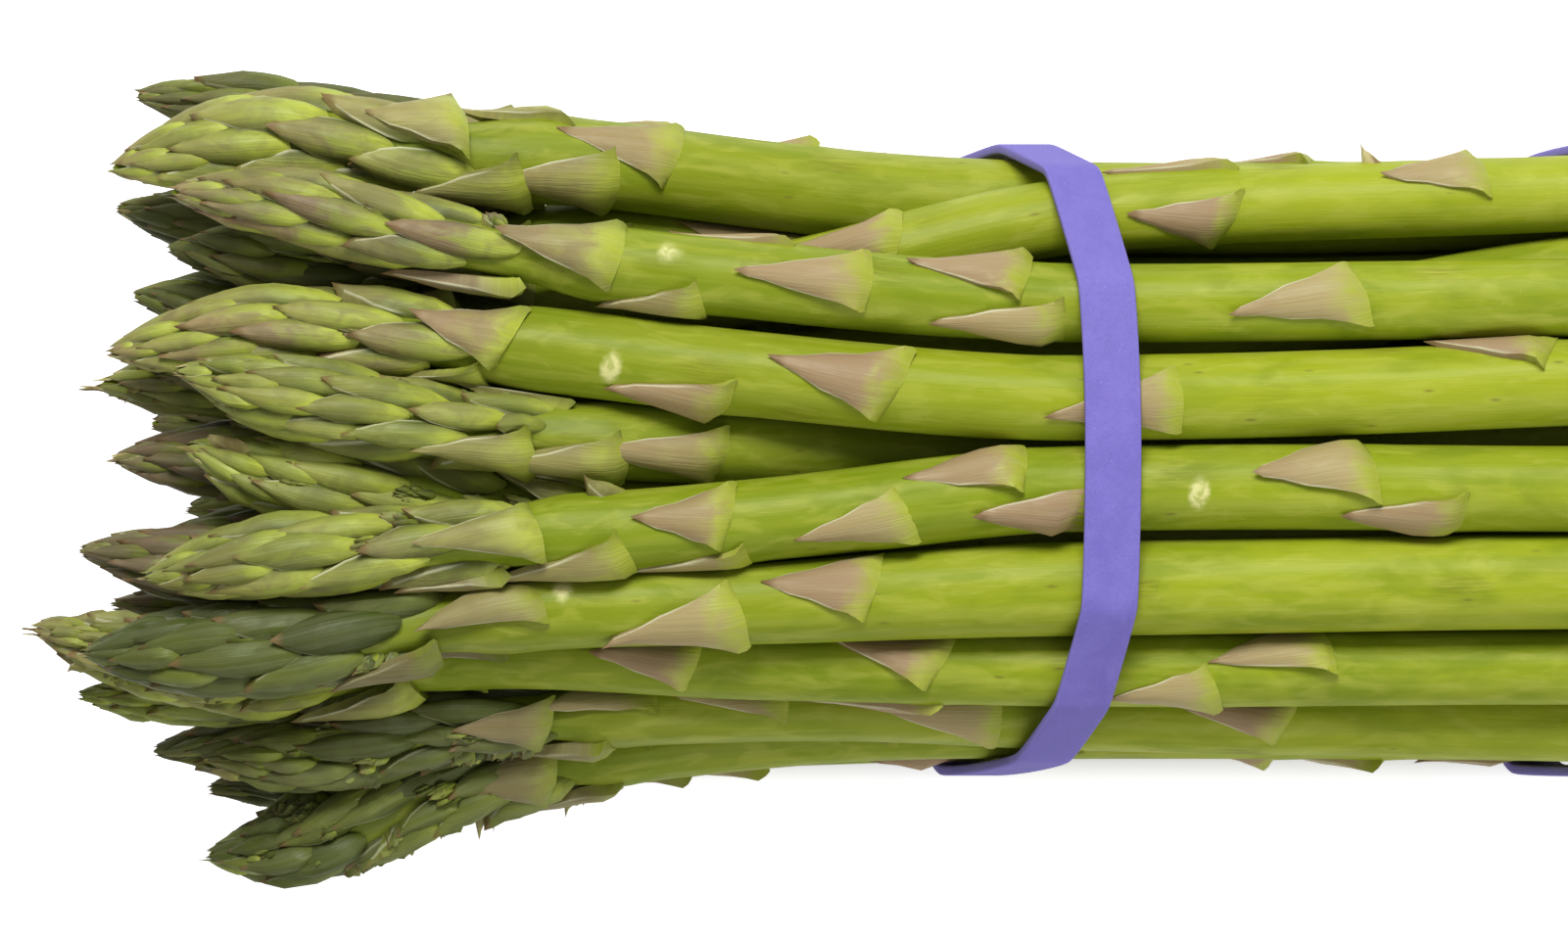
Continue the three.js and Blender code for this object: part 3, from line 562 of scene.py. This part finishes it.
# the tree puts one scale on each point of the sheet, varies it, and leaves plain mesh
def makeScaleTree():
    tree = bpy.data.node_groups.new("lay scales", "GeometryNodeTree")
    kinds = {"Geometry": "Geometry", "Card": "Object", "Size variation": "Float", "Skew": "Float",
             "Tilt": "Float", "Seed": "Int", "Skin": "Material"}
    for label, kind in kinds.items():
        tree.interface.new_socket(label, in_out="INPUT", socket_type="NodeSocket" + kind)
    tree.interface.new_socket("Geometry", in_out="OUTPUT", socket_type="NodeSocketGeometry")
    given = tree.nodes.new("NodeGroupInput").outputs
    ends = tree.nodes.new("NodeGroupOutput").inputs

    def randomIn(low, high, seed):
        values = {2: low, 3: high, 8: seed}
        return addNode(tree, "FunctionNodeRandomValue", values, data_type="FLOAT").outputs[1]

    def spread(label, seedOffset):
        low = times(tree, given[label], -1.0)
        return randomIn(low, given[label], calculate(tree, "ADD", given["Seed"], seedOffset))

    card = addNode(tree, "GeometryNodeObjectInfo", {"Object": given["Card"], "As Instance": True})
    size = addNode(tree, "GeometryNodeInputNamedAttribute", {"Name": "size"}, data_type="FLOAT_VECTOR")
    vary = [calculate(tree, "ADD", spread("Size variation", 1.0 + n), 1.0) for n in range(3)]
    vary = combine(tree, *vary)
    scaled = addNode(tree, "ShaderNodeVectorMath", {0: size.outputs[0], 1: vary}, operation="MULTIPLY")
    euler = combine(tree, 0.0, spread("Tilt", 5.0), spread("Skew", 6.0))
    turned = addNode(tree, "FunctionNodeEulerToRotation", {0: euler})
    placed = addNode(tree, "GeometryNodeInstanceOnPoints", {
        "Points": given["Geometry"], "Instance": card.outputs["Geometry"],
        "Rotation": turned.outputs[0], "Scale": scaled.outputs[0]})
    stored = addNode(tree, "GeometryNodeStoreNamedAttribute", {
        "Geometry": placed.outputs[0], "Name": "pick", "Value": randomIn(0.0, 1.0, given["Seed"])},
        data_type="FLOAT", domain="INSTANCE")
    plain = addNode(tree, "GeometryNodeRealizeInstances", {"Geometry": stored.outputs[0]})
    skinned = addNode(tree, "GeometryNodeSetMaterial", {
        "Geometry": plain.outputs[0], "Material": given["Skin"]})
    tree.links.new(skinned.outputs[0], ends["Geometry"])
    return tree


scaleTree = makeScaleTree()


def readArray(data, label, count, kind=float):
    values = np.empty(count, kind)
    data.foreach_get(label, values)
    return values


# lays one kind of scale for all the spears, and reads back the plain mesh as arrays
def layScales(rows, card, settings):
    sizes = [(row["length"], row["halfWidth"], row["rise"]) for row in rows]
    sheet = newMesh("scale sheet", [(row["base"], 0, 0) for row in rows], [],
                    {"size": sizes, "row": range(len(rows))})
    holder = addObject("scale sheet", sheet)
    modifier = holder.modifiers.new("lay scales", "NODES")
    modifier.node_group = scaleTree
    values = {"Card": card, "Skin": scaleSkin, **settings}
    for item in scaleTree.interface.items_tree:
        if item.in_out == "INPUT" and item.name in values:
            modifier[item.identifier] = values[item.name]
    depsgraph = bpy.context.evaluated_depsgraph_get()
    mesh = bpy.data.meshes.new_from_object(holder.evaluated_get(depsgraph))
    holder.modifiers.remove(modifier)
    bpy.data.objects.remove(holder)
    count = len(mesh.vertices)
    out = {label: readArray(mesh.attributes[label].data, "value", count)
           for label in ("ahead", "across", "pick", "row")}
    out["place"] = readArray(mesh.vertices, "co", count * 3).reshape(-1, 3)
    out["row"] = np.rint(out["row"]).astype(int)
    corners = readArray(mesh.loops, "vertex_index", len(mesh.loops), int)
    begins = readArray(mesh.polygons, "loop_start", len(mesh.polygons), int)
    out["faces"] = np.split(corners, begins[1:])
    bpy.data.meshes.remove(mesh)
    return out


# the head's scales, on a spiral that opens away from the tip
head = {"firstAt": 2.4, "until": 46, "gap": 0.5, "opening": 0.042, "relief": 1.9, "fullAt": 8,
        "length": [6, 14.5], "halfWidth": [1.6, 3.4], "slant": 0.45, "fades": [41, 54],
        "grows": [2, 24], "rises": [1, 10], "girth": 5.4}

# torn bits that stand off: spear, mm from the tip, degrees, length, half width, curl, dryness
shreds = [
    (21, 4.5, -70, 7, 1.3, 3.4, 0), (21, 3.5, -100, 6, 0.9, 2.2, 0.3), (21, 35, -92, 3.6, 1.2, 2.2, 0.5),
    (21, 37, -80, 3, 1.1, 1.8, 0.2), (21, 47, -96, 3.6, 1.3, 2.2, 0.3), (21, 50, -88, 4, 1.2, 1.4, 0),
    (5, 158, 80, 3.4, 0.7, 2.4, 1), (15, 4, 60, 6, 1.6, 3, 0.2), (15, 5, 130, 5, 1.2, 2.8, 0),
    (13, 60, 80, 6, 1.5, 2.4, 0.2), (7, 44, 20, 7, 1.8, 2.6, 0), (10, 8, 40, 6, 1.1, 2, 0.6),
    (15, 3.5, 200, 5, 1.3, 3, 0), (15, 6, 20, 5, 1.2, 2.6, 0), (15, 9, -60, 5, 1.4, 2.4, 0.1),
    (6, 3, 170, 4, 1, 1.6, 0.9), (1, 3, -150, 4, 1, 1.2, 0.7), (19, 5, -60, 5, 1.2, 2, 0.3),
]


# light is the tone, and leafy turns a scale's color from a head's to a leaf's
def scaleRow(k, base, turn, length, halfWidth, rise, light, curl=0.0, dry=0.0, leafy=0.0):
    return {"spear": k, "base": base, "turn": turn, "length": length, "halfWidth": halfWidth,
            "rise": rise, "light": light, "curl": curl, "dry": dry, "leafy": leafy}


# the scales of a head, then its dry points, small buds and torn bits
def headRows(k):
    light, plump, fray = (spears[k][4][n] for n in (0, 2, 3))
    rows = []
    base = head["firstAt"]
    angle = 2 * math.pi * chance(k, 3)
    number = 0
    small = mix(1, 0.72, plump)
    while base < head["until"]:
        grown = float(smooth(base, *head["grows"]))
        uneven = 1 + (0.12 + 0.35 * plump) * (chance(k, number + 100) - 0.5)
        length = min(mix(*head["length"], grown) * small * uneven, base + 0.4)
        halfWidth = mix(*head["halfWidth"], grown) * small * uneven * girth[k, 0] / head["girth"]
        rise = mix(1, 1.2, plump) * float(mix(0.5, 1, smooth(base, *head["rises"]))) * uneven
        tone = light + 0.45 * (chance(k, number + 160) - 0.5)
        curl = mix(0, 0.7, chance(k, number + 190) ** 2)
        rows.append(scaleRow(k, base, angle, length, halfWidth, rise, tone, curl))
        base += (head["gap"] + head["opening"] * base) * mix(1, 0.6, plump)
        angle += goldenAngle + (0.15 + 0.5 * plump) * (chance(k, number + 40) - 0.5)
        number += 1
    # dry points at the tip
    for n in range(5 + round(16 * fray)):
        length = 2.2 + (1.2 + 2.2 * fray) * chance(k, 260 + n)
        curl = (0.4 + 2.6 * fray) * chance(k, 320 + n)
        rows.append(scaleRow(k, 2.2 + 3.5 * chance(k, 200 + n), 6.28 * chance(k, 230 + n), length,
                             0.4 + 0.5 * chance(k, 290 + n), 0.35, light, curl,
                             0.55 + 0.45 * chance(k, 350 + n)))
    # clusters of small buds that show between the scales
    for n in range(5 + round(34 * plump)):
        middle, turn = mix(6, 42, chance(k, 400 + n)), 6.28 * chance(k, 450 + n)
        for m in range(5):
            place = 5 * n + m
            tone = mix(0.4 * light, 0.8, chance(k, 1100 + place) ** 2)
            rows.append(scaleRow(k, middle + 2.4 * chance(k, 500 + place),
                                 turn + 0.45 * (chance(k, 700 + place) - 0.5),
                                 1.7 + 1.8 * chance(k, 900 + place), 0.6 + 0.45 * chance(k, 1000 + n + m),
                                 mix(0.6, 1.15, plump), tone, 0.4))
    for owner, base, degrees, length, halfWidth, curl, dry in shreds:
        if owner == k:
            rows.append(scaleRow(k, base, math.radians(degrees), length, halfWidth, 1.1, 0.6, curl, dry))
    return rows


# the leaves of the stem: those given, and a spiral of others that face out of the bundle
leaf = {"firstAt": 47, "vary": 4, "wait": 1.6, "spread": 0.1, "endClear": 8, "givenTo": 80, "back": -0.2,
        "length": [13, 16.5], "halfAngle": 0.86, "rise": 1.45, "tans": [44, 88], "cover": 0.8,
        "behindHead": [43, 47, 51, 56], "apart": 9, "besideFrom": 0.35, "behindLength": [12.5, 14.5],
        "inGapLength": 15, "inGaps": {0: [(47, -115), (57, -80), (66, -105)],
                                      3: [(48, 75), (61, 95)], 28: [(38, 60), (47, 40)]}}


# whether a place on a spear faces out of the bundle
def exposed(k, fromTip, angle):
    at = np.array([fromTip], float)
    start = placeOn(k, at, np.array([angle]), zero)[0]
    ahead = placeOn(k, at, np.array([angle]), zero + 1)[0] - start
    for j in range(spearCount):
        if j == k or start[0] < tipX[j]:
            continue
        away = axisAt(j, start[:1])[0] - start[1:]
        aside = abs(away[0] * ahead[2] - away[1] * ahead[1])
        if away @ ahead[1:] >= 0 and aside <= leaf["cover"] * radiusAt(j, start[0] - tipX[j]):
            return False
    return True


def leafRows(k):
    given = spears[k][5]
    places = [(base, math.radians(degrees), mix(*leaf["length"], chance(k, base)))
              for base, degrees in given]
    base = leaf["firstAt"] + leaf["vary"] * chance(k, 4)
    angle = 2 * math.pi * chance(k, 2)
    while base < lengthOf(k) - leaf["endClear"]:
        free = not given or math.cos(angle) < leaf["back"] or base + tipX[k] > leaf["givenTo"]
        length = mix(*leaf["length"], chance(k, base))
        if free and exposed(k, base, angle) and exposed(k, base - length / 2, angle):
            places.append((base, angle, length))
        base += leaf["wait"] + leaf["spread"] * base
        angle += goldenAngle
    places += [(base, math.radians(degrees), leaf["inGapLength"])
               for base, degrees in leaf["inGaps"].get(k, [])]
    # a few more, set close behind the head where there is room
    for n, base in enumerate(leaf["behindHead"]):
        angle = 2 * math.pi * chance(k, 60) + n * goldenAngle
        if all(abs(base - b) > leaf["apart"] or math.cos(angle - a) < leaf["besideFrom"]
               for b, a, _ in places):
            places.append((base, angle, mix(*leaf["behindLength"], chance(k, 61 + n))))
    light = spears[k][4][0]
    rows = []
    for base, angle, length in places:
        old = float(smooth(base, *leaf["tans"]))
        halfWidth = leaf["halfAngle"] * float(radiusAt(k, base)) * mix(0.86, 1.06, chance(k, base + 3))
        rows.append(scaleRow(k, base, angle, length, halfWidth,
                             leaf["rise"] * mix(0.7, 1.15, chance(k, base + 1)), mix(light, 1.0, old),
                             0.6 * chance(k, base + 2), 0.0,
                             mix(0.2 + 0.35 * chance(k, base + 4), 1.0, old)))
    return rows


# every spear's scales go through the tree at once, and are shared out again in scalePart
podRows = [row for k in range(spearCount) for row in headRows(k)]
leafPlaces = [leafRows(k) for k in range(spearCount)]
bractRows = [row for rows in leafPlaces for row in rows]
pods = layScales(podRows, podCard, {"Size variation": 0.1, "Skew": 0.1, "Tilt": 0.02, "Seed": 11})
bracts = layScales(bractRows, leafCard, {"Size variation": 0.1, "Skew": 0.12, "Tilt": 0.012, "Seed": 23})
print("scales laid:", len(podRows), "on the heads and", len(bractRows), "on the stems")


band = {"width": 7, "thickness": 1.3, "gap": 0.35, "lean": 0.38, "middleZ": 29, "steps": 240, "hold": 2.5,
        "pressed": 0.12, "corner": 0.35, "ease": 30, "easeLoss": 0.12,
        "at": {"band_upper": 9, "band_lower": 83}}


def bandX(middle, z):
    return middle + band["lean"] * (z - band["middleZ"])


# 1 where a band keeps the leaves down, falling to 0 beside it
def underBand(points):
    cover = np.zeros(len(points))
    for middle in band["at"].values():
        away = np.abs(points[:, 0] - bandX(middle, points[:, 2]))
        held = 1 - smooth(away, band["width"] / 2 + 0.5, band["width"] / 2 + band["hold"])
        cover = np.maximum(cover, held)
    return cover


# keeps a spear's surface off its neighbours, sharing the gap, and flat under the bands
def keepClear(k, fromTip, angle, out):
    out = out.copy()
    radius = radiusAt(k, fromTip)
    for _ in range(4):
        points = placeOn(k, fromTip, angle, radius + out)
        for j in range(spearCount):
            if j == k:
                continue
            along = points[:, 0] - tipX[j]
            near = along > -0.5
            if not near.any():
                continue
            away = points[near, 1:] - axisAt(j, points[near, 0])
            free = np.hypot(away[:, 0], away[:, 1]) - radiusAt(j, along[near])
            out[near] -= np.maximum(0, out[near] - free) / 2
    cover = underBand(placeOn(k, fromTip, angle, radius + out))
    return np.where(out > band["pressed"], mix(out, band["pressed"], cover), out)


# tints and scars go by a spear's place in the table, from 0
stem = {"sides": 36, "step": 1.7, "flute": 0.055, "wave": 0.09, "node": 0.28,
        "bevel": 0.22, "cutRings": [(0.86, 0.4), (0.6, 0.6), (0.3, 0.85)], "cutSink": 0.12,
        "scarRise": 0.3, "scarLong": 0.85, "scarWide": 1.6,
        "tints": {1: 0.15, 2: 0.85, 6: 0.2, 7: 0.5, 13: 0.9, 15: 0.8, 16: 0.35, 19: 0.1, 21: 0.1}}
scars = {6: [(63, -14)], 16: [(60, 35)], 2: [(62, 30)], 13: [(131, -8)]}  # mm from tip, degrees


# rings of a stem: mm from the tip, angle, height over the plain radius, and how scarred it is
def stemShape(k):
    length = float(lengthOf(k))
    along = np.concatenate([[0.25, 0.7, 1.4, 2.4], np.arange(3.6, length - 0.5, stem["step"]),
                            [length - 0.25, length]])
    angle = np.arange(stem["sides"]) * 2 * math.pi / stem["sides"]
    s, a = np.meshgrid(along, angle, indexing="ij")
    sunk = smooth(s, 0, head["fullAt"]) * (1 - smooth(s, *head["fades"]))
    out = -head["relief"] * sunk - 0.6 * radiusAt(k, s) * (1 - smooth(s, 0, 9))
    turns = [2 * math.pi * chance(k, 20 + n) for n in range(6)]
    for n, (count, share) in enumerate(((3, 0.5), (5, 1.0), (8, 0.6))):
        out += stem["flute"] * share * np.sin(count * a + turns[n] + s * 0.004 * (n - 1))
    out += stem["wave"] * np.sin(s / 13 + turns[3]) * np.cos(a + turns[4] + s / 60)
    for row in leafPlaces[k]:
        turned = np.angle(np.exp(1j * (a - row["turn"])))
        near = np.exp(-(((s - row["base"] + 0.5) / 3.0) ** 2) - (turned / 0.9) ** 2)
        out += stem["node"] * near
    scar = np.zeros_like(s)
    for at, degrees in scars.get(k, []):
        turned = np.angle(np.exp(1j * (a - math.radians(degrees)))) * radiusAt(k, s)
        far = np.abs((s - at) / stem["scarLong"]) ** 1.3 + np.abs(turned / stem["scarWide"]) ** 1.3
        scar = np.maximum(scar, np.exp(-far))
    out += stem["scarRise"] * scar
    out[-1] -= stem["bevel"]
    fromTip = s.copy()
    tilt = 0.9 * (chance(k, 30) - 0.5)
    tail = smooth(s, length - 6, length)
    fromTip += tail * tilt * radiusAt(k, s) * 0.12 * np.cos(a - turns[5])
    out = keepClear(k, s.ravel(), a.ravel(), out.ravel())
    return len(along), fromTip.ravel(), a.ravel(), out, scar.ravel()


# a piece with its materials, and the values that its skins read
def makeMesh(name, points, faces, materials, slots, layers):
    mesh = newMesh(name, points, faces, layers)
    for material in materials:
        mesh.materials.append(material)
    mesh.polygons.foreach_set("material_index", slots)
    mesh.polygons.foreach_set("use_smooth", [True] * len(faces))
    mesh.set_sharp_from_angle(angle=math.radians(50))
    mesh.update()
    return addObject(name, mesh)


# one spear's scales of one kind, wrapped round its stem
def scalePart(k, laid, rows, isBract):
    chosen = np.array([row["spear"] for row in rows])[laid["row"]] == k
    newIndex = np.cumsum(chosen) - 1
    faces = [tuple(newIndex[f]) for f in laid["faces"] if chosen[f[0]]]
    place, ahead, across, pick = (laid[label][chosen] for label in ("place", "ahead", "across", "pick"))

    def ofRows(label):
        return np.array([row[label] for row in rows], float)[laid["row"][chosen]]

    turn, base, length, curl = (ofRows(label) for label in ("turn", "base", "length", "curl"))
    fromTip = place[:, 0] + 0.25 * curl * ahead ** 3
    around = np.maximum(radiusAt(k, base - (0.2 if isBract else 0.35) * length), 1.2)
    if isBract:
        fromTip = fromTip + 0.7 * (pick - 0.5) * across * around * (1 - ahead) ** 2
    lean = 2 * chance(k, 7) - 1
    sway = mix(head["slant"] * lean, 0.5 * (pick - 0.5), float(isBract)) * length * 0.5 * ahead ** 1.5
    wavy = 0.15 * np.abs(across) ** 3 * np.sin(ahead * 14 + pick * 40) * smooth(ahead, 0.12, 0.4)
    angle = turn + (place[:, 1] + sway + wavy * np.sign(across)) / around
    crumple = 0.07 + 0.2 * spears[k][4][2]
    wrinkle = np.sin(ahead * 7 + pick * 57) * np.sin(across * 2.6 + pick * 91)
    wrinkle += 0.7 * np.sin(ahead * 14 + across * 4 + pick * 133)
    wrinkle *= (1 - np.abs(across)) * smooth(ahead, 0, 0.2)
    out = place[:, 2] + curl * ahead ** 2 + crumple * wrinkle
    if isBract:
        out += 0.03
    else:
        out = (out - head["relief"]) * smooth(fromTip, -1.5, head["fullAt"])
    out = keepClear(k, fromTip, angle, out)
    radius = np.maximum(radiusAt(k, fromTip) + out, 0.15)
    points = placeOn(k, fromTip, angle, radius)
    grown = np.stack([fromTip + 37 * pick, place[:, 1] + 53 * pick, 11 * pick + 7.3 * k], axis=-1)
    return {"points": points, "faces": faces, "ahead": ahead, "across": across, "pick": pick,
            "grown": grown, "fromTip": fromTip, "bract": ofRows("leafy"), "dry": ofRows("dry"),
            "light": np.clip(ofRows("light"), 0, 1.1)}


# faces between two rings that have as many points each
def joinRings(first, second, sides):
    pairs = [(j, (j + 1) % sides) for j in range(sides)]
    return [(first + a, first + b, second + b, second + a) for a, b in pairs]


def makeSpear(k):
    rings, fromTip, angle, out, scar = stemShape(k)
    sides, offset = stem["sides"], 31.7 * k
    radius = radiusAt(k, fromTip) + out
    points = placeOn(k, fromTip, angle, radius)
    grown = np.stack([fromTip, radius * np.sin(angle) + offset, radius * np.cos(angle)], axis=-1)
    tip = len(points)
    last = tip - sides
    faces = [face for i in range(rings - 1) for face in joinRings(i * sides, (i + 1) * sides, sides)]
    faces += [(tip, (j + 1) % sides, j) for j in range(sides)]
    parts = [{"points": points, "grown": grown, "fromTip": fromTip, "scar": scar},
             {"points": placeOn(k, zero - 0.15, zero, zero), "grown": [(0, offset, 0)]}]
    # the cut face, in rings that sink a little
    middle = points[last:].mean(axis=0)
    ringStart, nextStart = last, tip + 1
    for share, mark in stem["cutRings"]:
        ring = middle + (points[last:] - middle) * share
        waves = 0.1 * np.sin(np.arange(sides) * 2.1 + k) * share
        ring[:, 0] += (waves - stem["cutSink"]) * (1 - share)
        parts.append({"points": ring, "cutFace": np.full(sides, mark), "fromTip": fromTip[last:],
                      "grown": grown[last:] * [1, share, share] + [0, offset * (1 - share), 0]})
        faces += joinRings(ringStart, nextStart, sides)
        ringStart, nextStart = nextStart, nextStart + sides
    parts.append({"points": [middle + [-0.15, 0, 0]], "grown": [(fromTip[-1], offset, 0)],
                  "cutFace": [1.0], "fromTip": fromTip[-1:]})
    faces += [(ringStart + j, ringStart + (j + 1) % sides, nextStart) for j in range(sides)]
    slots = [0] * len(faces)
    for laid, rows, isBract in ((pods, podRows, False), (bracts, bractRows, True)):
        start = sum(len(part["points"]) for part in parts)
        parts.append(scalePart(k, laid, rows, isBract))
        faces += [tuple(int(n) + start for n in face) for face in parts[-1]["faces"]]
    slots += [1] * (len(faces) - len(slots))
    layers = {"grown": np.concatenate([part["grown"] for part in parts])}
    for label in ("cutFace", "fromTip", "scar", "ahead", "across", "pick", "bract", "dry", "light"):
        layers[label] = np.concatenate([part.get(label, np.zeros(len(part["points"]))) for part in parts])
    points = (np.concatenate([part["points"] for part in parts]) + shift) * mm
    layers["tint"] = np.full(len(points), float(stem["tints"].get(k, chance(k, 50))))
    layers["mauve"] = np.full(len(points), float(spears[k][4][1]))
    name = "asparagus_%02d" % (k + 1)
    piece = makeMesh(name, points, faces, [stemSkin, scaleSkin], slots, layers)
    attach(piece, "root")
    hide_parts("spear_%02d" % (k + 1))


for k in range(spearCount):
    makeSpear(k)
print("spears made")


# a rubber band, wound round the spears it crosses, then eased
def makeBand(node, middle):
    steps = band["steps"]
    turn = 2 * math.pi / steps
    angles = np.arange(steps) * turn
    middleX = middle + band["lean"] * band["middleZ"] * np.sin(angles + turn / 2)
    reach = np.full((2, steps), -1e9)
    for offset in np.arange(-band["width"], band["width"] + 0.01, band["width"] / 3):
        x = middleX + offset
        for k in range(spearCount):
            axis = axisAt(k, x)
            radius = radiusAt(k, x - tipX[k]) + bundle["stemGap"]
            for n, a in enumerate((angles, angles + turn)):
                reach[n] = np.maximum(reach[n], axis[:, 0] * np.cos(a) + axis[:, 1] * np.sin(a) + radius)

    def corner(out):
        a, b = angles, angles + turn
        ra, rb = reach[0] + band["gap"] + out, reach[1] + band["gap"] + out
        y = (ra * np.sin(b) - rb * np.sin(a)) / math.sin(turn)
        z = (rb * np.cos(a) - ra * np.cos(b)) / math.sin(turn)
        return np.stack([y, z], axis=-1)

    half, thick, bend = band["width"] / 2, band["thickness"], band["corner"]
    section = []
    for cx, cz, first in ((half - bend, bend, -90), (half - bend, thick - bend, 0),
                          (bend - half, thick - bend, 90), (bend - half, bend, 180)):
        for n in range(4):
            a = math.radians(first + 30 * n)
            section.append((cx + bend * math.cos(a), cz + bend * math.sin(a)))
    section[8:8] = [(half * share, thick) for share in (0.6, 0.3, 0.0, -0.3, -0.6)]
    columns = len(section)
    x = bandX(middle, corner(thick)[:, 1])
    points = np.empty((steps, columns, 3))
    for n, (side, out) in enumerate(section):
        points[:, n, 0] = x + side
        points[:, n, 1:] = corner(out + band["easeLoss"])
    for _ in range(band["ease"]):
        points = (np.roll(points, 1, axis=0) + 2 * points + np.roll(points, -1, axis=0)) / 4
    points[..., 2] = np.maximum(points[..., 2] - band["easeLoss"], 0)
    middles = points.mean(axis=1)
    step = np.linalg.norm(np.diff(middles, axis=0, append=middles[:1]), axis=1)
    run = np.cumsum(step) - step
    sides, outs = np.array(section).T
    grown = np.stack(np.broadcast_arrays(run[:, None], sides, outs), axis=-1)
    faces = [face for i in range(steps)
             for face in joinRings(i * columns, (i + 1) % steps * columns, columns)]
    places = (points.reshape(-1, 3) + shift) * mm
    layers = {"grown": grown.reshape(-1, 3), "side": np.tile(np.abs(sides) / half, steps)}
    piece = makeMesh("rubber_" + node, places, faces, [bandRubber], [0] * len(faces), layers)
    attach(piece, "root")
    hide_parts(node)


for node, middle in band["at"].items():
    makeBand(node, middle)
print("bands made")


# the lights' place, size and energy
stage = {"floor": 3.0, "world": 0.34, "glow": 0.75, "aim": [0, 0, 0.03],
         "lights": {"key": [(-0.05, 0.6, 0.8), (0.5, 0.35), 11.0],
                    "fill": [(0.3, -0.6, 0.6), (0.8, 0.5), 3.2]},
         "under": [-0.084, -0.062, 0.104, 0.12], "beside": [0.045, 0.031],
         "lens": 197.9, "eyeX": -20.56, "eyeHeight": 1.13}

floorMaterial, floorTree, floorSurface = newMaterial(
    "pale floor", {"Base Color": (0.93, 0.93, 0.93, 1), "Roughness": 0.9, "Emission Color": (1, 1, 1, 1)})
seen = addNode(floorTree, "ShaderNodeLightPath").outputs["Is Camera Ray"]
# the floor is white to the camera, except where it lies under the bundle and shows through a gap
place = addNode(floorTree, "ShaderNodeTexCoord").outputs["Object"]
place = addNode(floorTree, "ShaderNodeSeparateXYZ", {0: place}).outputs
under = ramp(floorTree, calculate(floorTree, "ABSOLUTE", place[1]), *stage["beside"])
under = times(floorTree, under, ramp(floorTree, place[0], *stage["under"][:2]))
under = times(floorTree, under, ramp(floorTree, place[0], *stage["under"][:1:-1]))
clear = ramp(floorTree, under, 0, 1, stage["glow"], 0.0)
floorTree.links.new(times(floorTree, seen, clear), floorSurface.inputs["Emission Strength"])
half = stage["floor"] / 2
corners = [(-half, -half, -1e-4), (half, -half, -1e-4), (half, half, -1e-4), (-half, half, -1e-4)]
floor = addObject("floor", newMesh("floor", corners, [(0, 1, 2, 3)], {}))
floor.data.materials.append(floorMaterial)

world = bpy.data.worlds.new("studio")
bpy.context.scene.world = world
world.use_nodes = True
backdrop = world.node_tree.nodes["Background"]
backdrop.inputs["Color"].default_value = (1, 1, 1, 1)
seen = addNode(world.node_tree, "ShaderNodeLightPath").outputs["Is Camera Ray"]
brightness = ramp(world.node_tree, seen, 0, 1, stage["world"], 1.0)
world.node_tree.links.new(brightness, backdrop.inputs["Strength"])

for name, (place, size, energy) in stage["lights"].items():
    data = bpy.data.lights.new(name, "AREA")
    data.shape = "RECTANGLE"
    data.size, data.size_y = size
    data.energy = energy
    lamp = addObject(name, data)
    lamp.location = place
    toward = Vector(stage["aim"]) - Vector(place)
    lamp.rotation_euler = toward.to_track_quat("-Z", "Y").to_euler()

camera = bpy.data.cameras.new("camera")
camera.sensor_width = 36
camera.lens = stage["lens"]
camera.clip_end = 10
eye = addObject("camera", camera)
eye.location = ((stage["eyeX"] + shift[0]) * mm, shift[1] * mm, stage["eyeHeight"])
bpy.context.scene.camera = eye
bpy.context.scene.view_settings.view_transform = "Standard"
